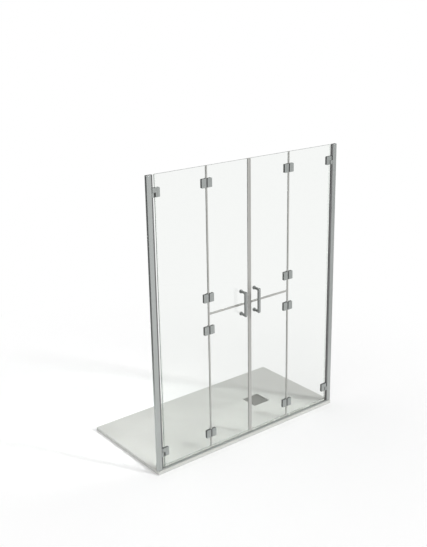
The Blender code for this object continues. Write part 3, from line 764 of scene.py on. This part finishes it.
def turned(profile, start, direction, steps=SMALL_ROUND_STEPS):
    """A round solid: profile lists (distance from start, radius) along the direction."""
    turn = Vector(direction).to_track_quat("Z", "Y")
    bm = bmesh.new()
    rings = []
    for distance, radius in profile:
        ring = []
        for step in range(steps):
            angle = math.tau * step / steps
            spot = Vector((radius * math.cos(angle), radius * math.sin(angle), distance))
            ring.append(bm.verts.new(Vector(start) + turn @ spot))
        rings.append(ring)
    for ring, after in zip(rings, rings[1:]):
        for step in range(steps):
            far = (step + 1) % steps
            bm.faces.new((ring[step], ring[far], after[far], after[step]))
    bm.faces.new(rings[0])
    bm.faces.new(rings[-1])
    return helper(bm)


def chamfered(length, radius, edge):
    """Profile of a rod with a small chamfer at both ends."""
    return [(0, radius - edge), (edge, radius), (length - edge, radius), (length, radius - edge)]


def domed_end(length, radius, dome, steps):
    """Profile points that round the end of a rod off, up to a small flat on its tip."""
    points = []
    for step in range(steps + 1):
        angle = math.pi / 2 * step / (steps + 0.5)
        points.append((length - dome + dome * math.sin(angle), radius - dome + dome * math.cos(angle)))
    return points


def domed_rod(length, radius, dome, steps=CORNER_STEPS):
    """Profile of a rod with both ends rounded off."""
    upper = domed_end(length, radius, dome, steps)
    return [(length - distance, spread) for distance, spread in reversed(upper)] + upper


def soften(obj, radius, segments=EDGE_STEPS):
    """Rounds the hard edges of a solid."""
    bevel = obj.modifiers.new("edges", "BEVEL")
    bevel.width = radius
    bevel.segments = segments
    bevel.limit_method = "ANGLE"
    bevel.angle_limit = math.radians(HARD_ANGLE)
    bevel.harden_normals = False
    return obj


def combine(obj, operation, others):
    for other in others:
        step = obj.modifiers.new("step", "BOOLEAN")
        step.operation = operation
        step.solver = "EXACT"
        step.object = other
    return obj


def join(obj, *others):
    return combine(obj, "UNION", others)


def cut(obj, *others):
    return combine(obj, "DIFFERENCE", others)


def drop_helpers():
    for made in [obj for obj in bpy.data.objects if obj.name.startswith("helper")]:
        bpy.data.objects.remove(made)


def finished_mesh(obj):
    """The mesh of a helper with all its steps done, smooth but for its hard edges."""
    bpy.context.view_layer.update()
    seen = obj.evaluated_get(bpy.context.evaluated_depsgraph_get())
    mesh = bpy.data.meshes.new_from_object(seen)
    drop_helpers()
    bm = bmesh.new()
    bm.from_mesh(mesh)
    bmesh.ops.remove_doubles(bm, verts=bm.verts[:], dist=WELD)
    bmesh.ops.dissolve_degenerate(bm, dist=WELD, edges=bm.edges[:])
    bmesh.ops.recalc_face_normals(bm, faces=bm.faces[:])
    bm.to_mesh(mesh)
    bm.free()
    mesh.polygons.foreach_set("use_smooth", [True] * len(mesh.polygons))
    mesh.set_sharp_from_angle(angle=math.radians(SMOOTH_ANGLE))
    return mesh


def moved_mesh(mesh, place, side=SIDES["left"]):
    """A copy of a mesh made for the left side, set in its place and mirrored for the right side."""
    copy = mesh.copy()
    if side != SIDES["left"]:
        copy.transform(Matrix.Scale(-1, 4, (1, 0, 0)))
        copy.flip_normals()
    copy.transform(Matrix.Translation(place))
    return copy


def add_piece(name, mesh, body, slot, *replaced, finish=None):
    """Puts a finished piece on its body, with the finish of its material slot or one of its own."""
    made = bpy.data.objects.new(name, mesh)
    bpy.context.scene.collection.objects.link(made)
    mesh.materials.clear()
    mesh.materials.append(finish or FINISHES[slot])
    weigh = made.modifiers.new("even_shading", "WEIGHTED_NORMAL")
    weigh.keep_sharp = True
    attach(made, body)
    if replaced:
        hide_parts(*replaced)
    return made


def hole(radius, x, y_low, y_high, z):
    """A cutter through a plate."""
    return turned([(0, radius), (y_high - y_low, radius)], (x, y_low, z), (0, 1, 0))


# Clamps on the glass


def plate_outline(near, far, low, high, corner):
    """A plate's outline with its two corners at the far end rounded."""
    facing = 1 if far > near else -1
    points = [(near, low)]
    for centre_z, first in ((low + corner, -90), (high - corner, 0)):
        for step in range(CORNER_STEPS + 1):
            angle = math.radians(first + 90 * step / CORNER_STEPS)
            x = far - facing * (corner - corner * math.cos(angle))
            points.append((x, centre_z + corner * math.sin(angle)))
    points.append((near, high))
    return points


def clamp_plate(outline, face, outer):
    """Steel plate on the front (face -1) or back (face 1) of the glass, over its lining."""
    inner = face * (GLASS_HALF + SEAT_GAP + LINING_THICKNESS)
    return soften(prism(outline, *sorted((inner, face * outer)), "Y"), PLATE_EDGE)


def lining_pad(outline, face):
    """Thin pad between a plate and the front (face -1) or back (face 1) of the glass."""
    inner = face * (GLASS_HALF + SEAT_GAP)
    outer = inner + face * (LINING_THICKNESS + SEAT_GAP)
    return prism(outline, *sorted((inner, outer)), "Y")


def hex_socket(x, face, z):
    """A cutter for the hex socket in a face that looks towards +Y."""
    profile = [(0, HEX_SOCKET_RADIUS), (HEX_SOCKET_DEPTH + OVERRUN, HEX_SOCKET_RADIUS)]
    return turned(profile, (x, face - HEX_SOCKET_DEPTH, z), (0, 1, 0), HEX_SIDES)


def screw_mesh(x, z, face):
    """Head of a clamp screw with its hex socket, sunk in the plate behind the glass."""
    head_face = face - SCREW_SINK
    profile = chamfered(SCREW_HEAD, SCREW_RADIUS - SCREW_GAP, SCREW_EDGE)
    head = turned(profile, (x, head_face - SCREW_HEAD, z), (0, 1, 0))
    return finished_mesh(cut(head, hex_socket(x, head_face, z)))


def screw_recess(x, z, face):
    return hole(SCREW_RADIUS, x, face - SCREW_RECESS, face + OVERRUN, z)


# Fold hinges


def fold_half_mesh(facing, knuckles):
    """Half of a folding hinge, about the fold line and the middle of the glass: two plates on the glass,
    a boss through it and knuckles behind it."""
    far = facing * FOLD_REACH
    back_inset = facing * (FOLD_KNUCKLE_RADIUS + KNUCKLE_CLEARANCE)
    front_plate = plate_outline(facing * PLATE_INSET, far, -HINGE_HALF, HINGE_HALF, PLATE_CORNER)
    back_plate = plate_outline(back_inset, far, -HINGE_HALF, HINGE_HALF, PLATE_CORNER)
    middle_x = facing * (PLATE_INSET + FOLD_REACH) / 2
    boss = hole(BOSS_RADIUS, middle_x, -CLAMP_HALF + BOSS_SINK, CLAMP_HALF - BOSS_SINK, 0)
    joined = [clamp_plate(back_plate, 1, CLAMP_HALF), boss]
    arm_x = sorted((0, back_inset + facing * PLATE_CORNER))
    arm_front = FOLD_AXIS_BEHIND - FOLD_KNUCKLE_RADIUS + KNUCKLE_CLEARANCE
    arm_back = CLAMP_HALF - ARM_BACK_INSET
    for low, high in knuckles:
        barrel = chamfered(high - low, FOLD_KNUCKLE_RADIUS, KNUCKLE_CHAMFER)
        joined.append(turned(barrel, (0, FOLD_AXIS_BEHIND, low), (0, 0, 1)))
        joined.append(box((arm_x[0], arm_front, low + ARM_INSET), (arm_x[1], arm_back, high - ARM_INSET)))
    reach = HINGE_HALF + OVERRUN
    bore = turned([(0, BORE_RADIUS), (2 * reach, BORE_RADIUS)], (0, FOLD_AXIS_BEHIND, -reach), (0, 0, 1))
    front = clamp_plate(front_plate, -1, CLAMP_HALF)
    return finished_mesh(cut(join(front, *joined), bore, screw_recess(middle_x, 0, CLAMP_HALF)))


def fold_lining_mesh(facing):
    """Pads of one half of a folding hinge. The front one's lip covers the seal between the plates."""
    half = HINGE_HALF - LINING_INSET
    far = facing * (FOLD_REACH - LINING_INSET)
    front_near = facing * (FOLD_GLASS_EDGE + LINING_INSET)
    back_near = facing * (FOLD_KNUCKLE_RADIUS + KNUCKLE_CLEARANCE + LINING_INSET)
    front = lining_pad(plate_outline(front_near, far, -half, half, PLATE_CORNER), -1)
    back = lining_pad(plate_outline(back_near, far, -half, half, PLATE_CORNER), 1)
    lip_x = sorted((facing * LINING_INSET, front_near + facing * LIP_OVERLAP))
    lip_back = -GLASS_HALF - SEAL_ROOT_PROUD - SEAT_GAP
    lip = box((lip_x[0], lip_back - LIP_THICKNESS, -half), (lip_x[1], lip_back, half))
    return finished_mesh(join(front, lip, back))


def fold_pin_mesh():
    """Hinge pin with domed ends, which stand level with the knuckles."""
    profile = domed_rod(2 * HINGE_HALF, PIN_RADIUS, PIN_DOME)
    return finished_mesh(turned(profile, (0, FOLD_AXIS_BEHIND, -HINGE_HALF), (0, 0, 1)))


def make_fold_hinges():
    middle = MIDDLE_KNUCKLE_HEIGHT / 2
    tip = HINGE_HALF - KNUCKLE_END_INSET
    ends = [(-tip, -middle - KNUCKLE_CLEARANCE), (middle + KNUCKLE_CLEARANCE, tip)]
    halves = {
        "outer": (-1, fold_half_mesh(-1, [(-middle, middle)])),
        "leaf": (1, fold_half_mesh(1, ends)),
    }
    linings = {part: fold_lining_mesh(facing) for part, (facing, _) in halves.items()}
    screw_x = (PLATE_INSET + FOLD_REACH) / 2
    screws = {part: screw_mesh(facing * screw_x, 0, CLAMP_HALF) for part, (facing, _) in halves.items()}
    pin = fold_pin_mesh()
    for name, side in SIDES.items():
        for level in LEVELS:
            for end in ENDS:
                tag = f"{level}_{end}_{name}"
                low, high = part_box(f"fold_hinge_pin_{tag}")
                place = Vector((side * FOLD_X, GLASS_Y, (low.z + high.z) / 2))
                bodies = {"outer": f"outer_door_{name}", "leaf": f"inner_leaf_{level}_{name}"}
                for part, (_, mesh) in halves.items():
                    node = f"fold_hinge_{part}_{tag}"
                    body = bodies[part]
                    add_piece(f"{node}_body", moved_mesh(mesh, place, side), body, "satin_steel", node)
                    lining = moved_mesh(linings[part], place, side)
                    add_piece(f"{node}_lining", lining, body, "dark_rubber")
                    screw = moved_mesh(screws[part], place, side)
                    add_piece(f"{node}_screw", screw, body, "brushed_steel")
                node = f"fold_hinge_pin_{tag}"
                add_piece(f"{node}_domed", moved_mesh(pin, place), bodies["outer"], "brushed_steel", node)


# Wall hinges


def wall_bracket_mesh():
    """Fixed half of a wall hinge, about its axis: base on the profile, lower barrel and pin."""
    depth = CLAMP_HALF
    base_front = -WALL_BACK + WALL_BASE_THICKNESS
    base = soften(box((-WALL_BACK, -depth, -HINGE_HALF), (base_front, depth, HINGE_HALF)), PLATE_EDGE)
    barrel_low = -HINGE_HALF + KNUCKLE_END_INSET
    barrel_high = -WALL_HALF_GAP
    lug_depth = depth - ARM_INSET
    lug_back = -WALL_BACK + WALL_BASE_THICKNESS / 2
    lug = box((lug_back, -lug_depth, barrel_low + ARM_INSET), (0, lug_depth, barrel_high - ARM_INSET))
    radius = depth - BARREL_SINK
    barrel_profile = chamfered(barrel_high - barrel_low, radius, KNUCKLE_CHAMFER)
    barrel = turned(barrel_profile, (0, 0, barrel_low), (0, 0, 1), ROUND_STEPS)
    pin_foot = -HINGE_HALF / 2
    pin_profile = domed_rod(HINGE_HALF - WALL_PIN_SHORT - pin_foot, WALL_PIN_RADIUS, PIN_DOME)
    pin = turned(pin_profile, (0, 0, pin_foot), (0, 0, 1))
    return finished_mesh(join(base, lug, barrel, pin))


def wall_clamp_outline(near, far, shoulder):
    """Outline of the moving plates: they reach over the axis above the bracket's barrel."""
    rounded = plate_outline(near, far, -HINGE_HALF, HINGE_HALF, PLATE_CORNER)
    return rounded[:-1] + [(0, HINGE_HALF), (0, shoulder), (near, shoulder)]


def wall_clamp_mesh():
    """Moving half of a wall hinge: plates on both faces of the glass and a barrel over the pin."""
    depth = CLAMP_HALF
    low = WALL_HALF_GAP
    high = HINGE_HALF - KNUCKLE_END_INSET
    outline = wall_clamp_outline(WALL_PLATE_NEAR, WALL_PLATE_FAR, low + ARM_INSET)
    middle_x = (WALL_PLATE_NEAR + WALL_PLATE_FAR) / 2
    radius = depth - BARREL_SINK
    barrel = turned(chamfered(high - low, radius, KNUCKLE_CHAMFER), (0, 0, low), (0, 0, 1), ROUND_STEPS)
    web = box(
        (0, PLATE_EDGE - radius, low + 2 * ARM_INSET),
        (WALL_GLASS_EDGE - SEAT_GAP, radius - PLATE_EDGE, high - ARM_INSET),
    )
    boss = hole(BOSS_RADIUS, middle_x, -depth + BOSS_SINK, depth - BOSS_SINK, 0)
    bore_profile = [(0, WALL_BORE_RADIUS), (HINGE_HALF + 2 * OVERRUN, WALL_BORE_RADIUS)]
    bore = turned(bore_profile, (0, 0, -OVERRUN), (0, 0, 1))
    plates = [clamp_plate(outline, face, depth) for face in (-1, 1)]
    return finished_mesh(cut(join(barrel, web, *plates, boss), bore, screw_recess(middle_x, 0, depth)))


def wall_lining_mesh():
    near = WALL_GLASS_EDGE + LINING_INSET
    far = WALL_PLATE_FAR - LINING_INSET
    half = HINGE_HALF - LINING_INSET
    outline = plate_outline(near, far, -half, half, PLATE_CORNER)
    return finished_mesh(join(lining_pad(outline, -1), lining_pad(outline, 1)))


def make_wall_hinges():
    bracket = wall_bracket_mesh()
    clamp = wall_clamp_mesh()
    lining = wall_lining_mesh()
    screw = screw_mesh((WALL_PLATE_NEAR + WALL_PLATE_FAR) / 2, 0, CLAMP_HALF)
    for name, side in SIDES.items():
        for end in ENDS:
            fixed = f"wall_hinge_bracket_{end}_{name}"
            moving = f"wall_hinge_clamp_{end}_{name}"
            low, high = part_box(fixed)
            place = Vector((side * WALL_X, GLASS_Y, (low.z + high.z) / 2))
            outer = f"outer_door_{name}"
            add_piece(f"{fixed}_body", moved_mesh(bracket, place, side), "fixed_frame", "satin_steel", fixed)
            add_piece(f"{moving}_body", moved_mesh(clamp, place, side), outer, "satin_steel", moving)
            add_piece(f"{moving}_lining", moved_mesh(lining, place, side), outer, "dark_rubber")
            add_piece(f"{moving}_screw", moved_mesh(screw, place, side), outer, "brushed_steel")


# Handles


def handle_mesh(name):
    """Round bar whose ends run into two arms that taper to the feet on the glass."""
    low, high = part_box(f"handle_{name}")
    x = (low.x + high.x) / 2
    foot_radius = (high.x - low.x) / 2
    bar_y = low.y + BAR_RADIUS
    foot_y = GLASS_Y - GLASS_HALF - SEAT_GAP
    heights = (low.z + foot_radius, high.z - foot_radius)
    bar_low = heights[0] - BAR_OVERHANG
    length = heights[1] + BAR_OVERHANG - bar_low
    bar = turned(domed_rod(length, BAR_RADIUS, BAR_DOME), (x, bar_y, bar_low), (0, 0, 1), ROUND_STEPS)
    joined = []
    for height in heights:
        reach = foot_y - bar_y
        arm = []
        for step in range(ARM_STEPS + 1):
            share = step / ARM_STEPS
            swell = (1 - share) ** 2
            arm.append((share * (reach - FOOT_THICKNESS / 2), ARM_RADIUS_AT_FOOT + swell * ARM_SWELL))
        joined.append(turned(arm, (x, bar_y, height), (0, 1, 0)))
        foot = [(0, foot_radius - FOOT_EDGE), (FOOT_EDGE, foot_radius), (FOOT_THICKNESS, foot_radius)]
        joined.append(turned(foot, (x, foot_y - FOOT_THICKNESS, height), (0, 1, 0), ROUND_STEPS))
        stud = [(0, STUD_RADIUS), (FOOT_THICKNESS / 2 + 2 * GLASS_HALF, STUD_RADIUS)]
        joined.append(turned(stud, (x, foot_y - FOOT_THICKNESS / 2, height), (0, 1, 0)))
    return finished_mesh(join(bar, *joined)), x, heights


def make_handles():
    """Handles outside, with a round cap on each stud inside."""
    cap_y = GLASS_Y + GLASS_HALF + SEAT_GAP
    # A darker copy of the hinge steel, which paints shade on the handles and their caps.
    steel = handle_steel_painted_shade()
    for name in SIDES:
        mesh, x, heights = handle_mesh(name)
        node = f"handle_{name}"
        body = f"inner_leaf_upper_{name}"
        add_piece(f"{node}_pull", mesh, body, "satin_steel", node, finish=steel)
        for end, height in zip(ENDS, heights):
            profile = [(0, CAP_RADIUS), (CAP_THICKNESS - CAP_EDGE, CAP_RADIUS)]
            profile += domed_end(CAP_THICKNESS, CAP_RADIUS, CAP_EDGE, CORNER_STEPS)[1:]
            cap = turned(profile, (x, cap_y, height), (0, 1, 0), ROUND_STEPS)
            capped = finished_mesh(cut(cap, hex_socket(x, cap_y + CAP_THICKNESS, height)))
            add_piece(f"{node}_cap_{end}", capped, body, "satin_steel", finish=steel)


# Seals


def seal_outline(cover, tip_proud, root_proud, web=SEAL_WEB, head=0.0, head_half=0.0):
    """Channel round a glass edge at a = 0, open towards +a, with a web and perhaps a head at -a.

    The faces of its legs slant a little.
    """
    inner = GLASS_HALF + SEAL_GRIP
    root = -SEAL_EDGE_GAP - web
    outline = [(cover, inner), (cover, GLASS_HALF + tip_proud), (root, GLASS_HALF + root_proud)]
    if head > 0:
        tip = root - head
        outline += [(root, head_half), (tip, head_half), (tip, -head_half), (root, -head_half)]
    outline += [(root, -GLASS_HALF - root_proud), (cover, -GLASS_HALF - tip_proud), (cover, -inner)]
    return outline + [(-SEAL_EDGE_GAP, -inner), (-SEAL_EDGE_GAP, inner)]


def headed_outline(cover, head):
    """Channel with a head that is a little proud of the glass."""
    head_half = GLASS_HALF + SEAL_HEAD_PROUD
    return seal_outline(cover, SEAL_TIP_PROUD, SEAL_ROOT_PROUD, SEAL_WEB, head, head_half)


def upright_seal(outline, edge_x, opening, low, high):
    """Channel on an upright glass edge, open towards +X (opening 1) or -X (opening -1)."""
    return prism([(edge_x + opening * a, GLASS_Y + b) for a, b in outline], low, high)


def level_seal(outline, edge_z, opening, low, high):
    """Channel on a level glass edge, open upwards (opening 1) or downwards (opening -1)."""
    return prism([(GLASS_Y + b, edge_z + opening * a) for a, b in outline], low, high, "X")


def hinge_spans(nodes):
    """Heights that a row of hinges takes up on a glass edge, each with its clearance."""
    spans = []
    for node in nodes:
        low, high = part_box(node)
        spans.append((low.z - HINGE_NOTCH_GAP, high.z + HINGE_NOTCH_GAP))
    return spans


def notched(seal, low_x, high_x, spans):
    """Cuts a seal away between two distances across the doors, at each of the given heights."""
    near, far = sorted((low_x, high_x))
    for low, high in spans:
        cut(seal, box((near, GLASS_Y - SEAL_NOTCH_DEPTH, low), (far, GLASS_Y + SEAL_NOTCH_DEPTH, high)))
    return seal


def make_fold_seals(name, side):
    """Seals on both glass edges of a fold line, cut away where the hinge plates lie."""
    node = f"fold_seal_{name}"
    low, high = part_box(node)
    outer_low, outer_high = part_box(f"outer_pane_{name}")
    edge_x = outer_high.x if side < 0 else outer_low.x
    cover = abs((low.x if side < 0 else high.x) - edge_x)
    web = abs((high.x if side < 0 else low.x) - edge_x) - SEAL_EDGE_GAP
    outline = seal_outline(cover, SEAL_TIP_PROUD, SEAL_ROOT_PROUD, web)
    hinges = [f"fold_hinge_outer_{level}_{end}_{name}" for level in LEVELS for end in ENDS]
    spans = hinge_spans(hinges)
    legs = (edge_x + side * (cover + OVERRUN), edge_x - side * (SEAL_EDGE_GAP + SEAL_NOTCH_BITE))
    seal = notched(upright_seal(outline, edge_x, side, low.z, high.z), *legs, spans)
    add_piece(f"{node}_strip", finished_mesh(seal), f"outer_door_{name}", "seal_plastic", node)

    outline = seal_outline(cover, SEAL_TIP_PROUD, SEAL_ROOT_PROUD)
    for level in LEVELS:
        leaf_low, leaf_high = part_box(f"{level}_leaf_{name}")
        leaf_edge = leaf_low.x if side < 0 else leaf_high.x
        start, end = (corner.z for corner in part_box(f"centre_seal_{level}_{name}"))
        legs = (leaf_edge - side * (cover + OVERRUN), leaf_edge + side * (SEAL_EDGE_GAP + SEAL_NOTCH_BITE))
        strip = upright_seal(outline, leaf_edge, -side, start, end)
        mesh = finished_mesh(notched(strip, *legs, spans))
        add_piece(f"fold_seal_leaf_{level}_{name}", mesh, f"inner_leaf_{level}_{name}", "seal_plastic")


def make_centre_seals(name, side):
    """Seals on the meeting edges of the leaves."""
    for level in LEVELS:
        node = f"centre_seal_{level}_{name}"
        low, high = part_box(node)
        leaf_low, leaf_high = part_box(f"{level}_leaf_{name}")
        edge_x = leaf_high.x if side < 0 else leaf_low.x
        cover = abs((low.x if side < 0 else high.x) - edge_x)
        head = abs((high.x if side < 0 else low.x) - edge_x) - SEAL_EDGE_GAP - SEAL_WEB
        outline = headed_outline(cover, head)
        mesh = finished_mesh(upright_seal(outline, edge_x, side, low.z, high.z))
        add_piece(f"{node}_strip", mesh, f"inner_leaf_{level}_{name}", "seal_plastic", node)


def make_split_seals(name):
    """Seals on the two glass edges where a leaf is split at half height."""
    node = f"split_seal_{name}"
    low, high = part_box(node)
    upper_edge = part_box(f"upper_leaf_{name}")[0].z
    lower_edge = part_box(f"lower_leaf_{name}")[1].z
    cover = high.z - upper_edge
    head = upper_edge - low.z - SEAL_EDGE_GAP - SEAL_WEB
    outline = headed_outline(cover, head)
    mesh = finished_mesh(level_seal(outline, upper_edge, 1, low.x, high.x))
    add_piece(f"{node}_strip", mesh, f"inner_leaf_upper_{name}", "seal_plastic", node)

    outline = seal_outline(cover, SEAL_TIP_PROUD, SEAL_ROOT_PROUD)
    mesh = finished_mesh(level_seal(outline, lower_edge, -1, low.x, high.x))
    add_piece(f"split_seal_lower_{name}", mesh, f"inner_leaf_lower_{name}", "seal_plastic")


def make_wall_seals(name, side):
    """Clear seal on the outer pane's wall edge, which closes the gap to the profile."""
    pane_low, pane_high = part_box(f"outer_pane_{name}")
    gasket_low, gasket_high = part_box(f"profile_gasket_{name}")
    edge_x = pane_low.x if side < 0 else pane_high.x
    gasket_x = gasket_high.x if side < 0 else gasket_low.x
    head = abs(edge_x - gasket_x) - SEAL_EDGE_GAP - SEAL_WEB - WALL_SEAL_END_GAP
    proud = WALL_SEAL_PROUD
    outline = seal_outline(WALL_SEAL_COVER, proud, proud, SEAL_WEB, head, WALL_SEAL_FIN / 2)
    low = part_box(f"fold_seal_{name}")[0].z
    strip = upright_seal(outline, edge_x, -side, low, pane_high.z)
    spans = hinge_spans([f"wall_hinge_clamp_{end}_{name}" for end in ENDS])
    reach = (edge_x - side * (WALL_SEAL_COVER + OVERRUN), gasket_x)
    mesh = finished_mesh(notched(strip, *reach, spans))
    add_piece(f"wall_seal_{name}", mesh, f"outer_door_{name}", "clear_seal", finish=clear_strip)


# Drain cover and profile plugs


def make_drain_cover():
    """Square cover with a narrow groove inside its border, on four feet."""
    low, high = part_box("drain_cover")
    underside = high.z - COVER_THICKNESS
    cover = soften(box((low.x, low.y, underside), high), COVER_EDGE)
    middle = (low + high) / 2
    half = (high.x - low.x) / 2
    outer = half - COVER_BORDER
    inner = outer - COVER_GROOVE
    floor = high.z - COVER_GROOVE_DEPTH
    top = high.z + OVERRUN
    for low_x, high_x, low_y, high_y in (
        (-outer, outer, -outer, -inner),
        (-outer, outer, inner, outer),
        (-outer, -inner, -inner - OVERRUN, inner + OVERRUN),
        (inner, outer, -inner - OVERRUN, inner + OVERRUN),
    ):
        corner = (middle.x + low_x, middle.y + low_y, floor)
        cut(cover, box(corner, (middle.x + high_x, middle.y + high_y, top)))
    reach = half - COVER_FOOT_INSET
    length = underside + COVER_THICKNESS / 2 - low.z
    for across in (-reach, reach):
        for along in (-reach, reach):
            foot = (middle.x + across, middle.y + along, low.z)
            join(cover, turned(chamfered(length, COVER_FOOT_RADIUS, COVER_EDGE), foot, (0, 0, 1)))
    add_piece("drain_cover_plate", finished_mesh(cover), "fixed_frame", "dark_cover", "drain_cover")


def make_profile_plugs(name):
    """Plug that closes the top of a wall profile."""
    low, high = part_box(f"wall_profile_{name}")
    gasket_low, gasket_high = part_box(f"profile_gasket_{name}")
    inset = PROFILE_WALL + PLUG_GAP
    ends = [low.x + inset, high.x - inset]
    if low.x < 0:
        ends[1] = gasket_low.x - PLUG_GAP
    else:
        ends[0] = gasket_high.x + PLUG_GAP
    top = high.z - PLUG_SINK
    corner = (ends[0], low.y + inset, top - PLUG_THICKNESS)
    plug = soften(box(corner, (ends[1], high.y - inset, top)), COVER_EDGE)
    add_piece(f"profile_plug_{name}", finished_mesh(plug), "fixed_frame", "dark_rubber")


def dress_frame_nodes():
    """Gives each node of the frame the finish of its slot."""
    for part in frame["record"]["subparts"]:
        node = frame["nodes"][part["node"]]
        node.data.materials.clear()
        node.data.materials.append(FINISHES[part["material_slot"]])


brushed_grain = brushed_grain_group()
speckle = speckle_group()
edge_mask = edge_mask_group()
FINISHES = {
    "pale_stone": stone_resin(),
    "satin_aluminium": satin_aluminium(),
    "satin_steel": satin_steel(),
    "brushed_steel": brushed_steel(),
    "dark_cover": dark_cover(),
    "dark_rubber": dark_rubber(),
    "clear_glass": clear_glass(),
    "seal_plastic": seal_plastic(),
    "clear_seal": milky_seal_plastic(),
}

clear_strip = clear_seal_plastic()

make_camera()
make_key_light()
make_world()
make_floor()
make_dark_screen()
dress_frame_nodes()
make_fold_hinges()
make_wall_hinges()
make_handles()
for title, direction in SIDES.items():
    make_fold_seals(title, direction)
    make_centre_seals(title, direction)
    make_split_seals(title)
    make_wall_seals(title, direction)
    make_profile_plugs(title)
make_drain_cover()

bpy.context.scene.view_settings.view_transform = "Standard"
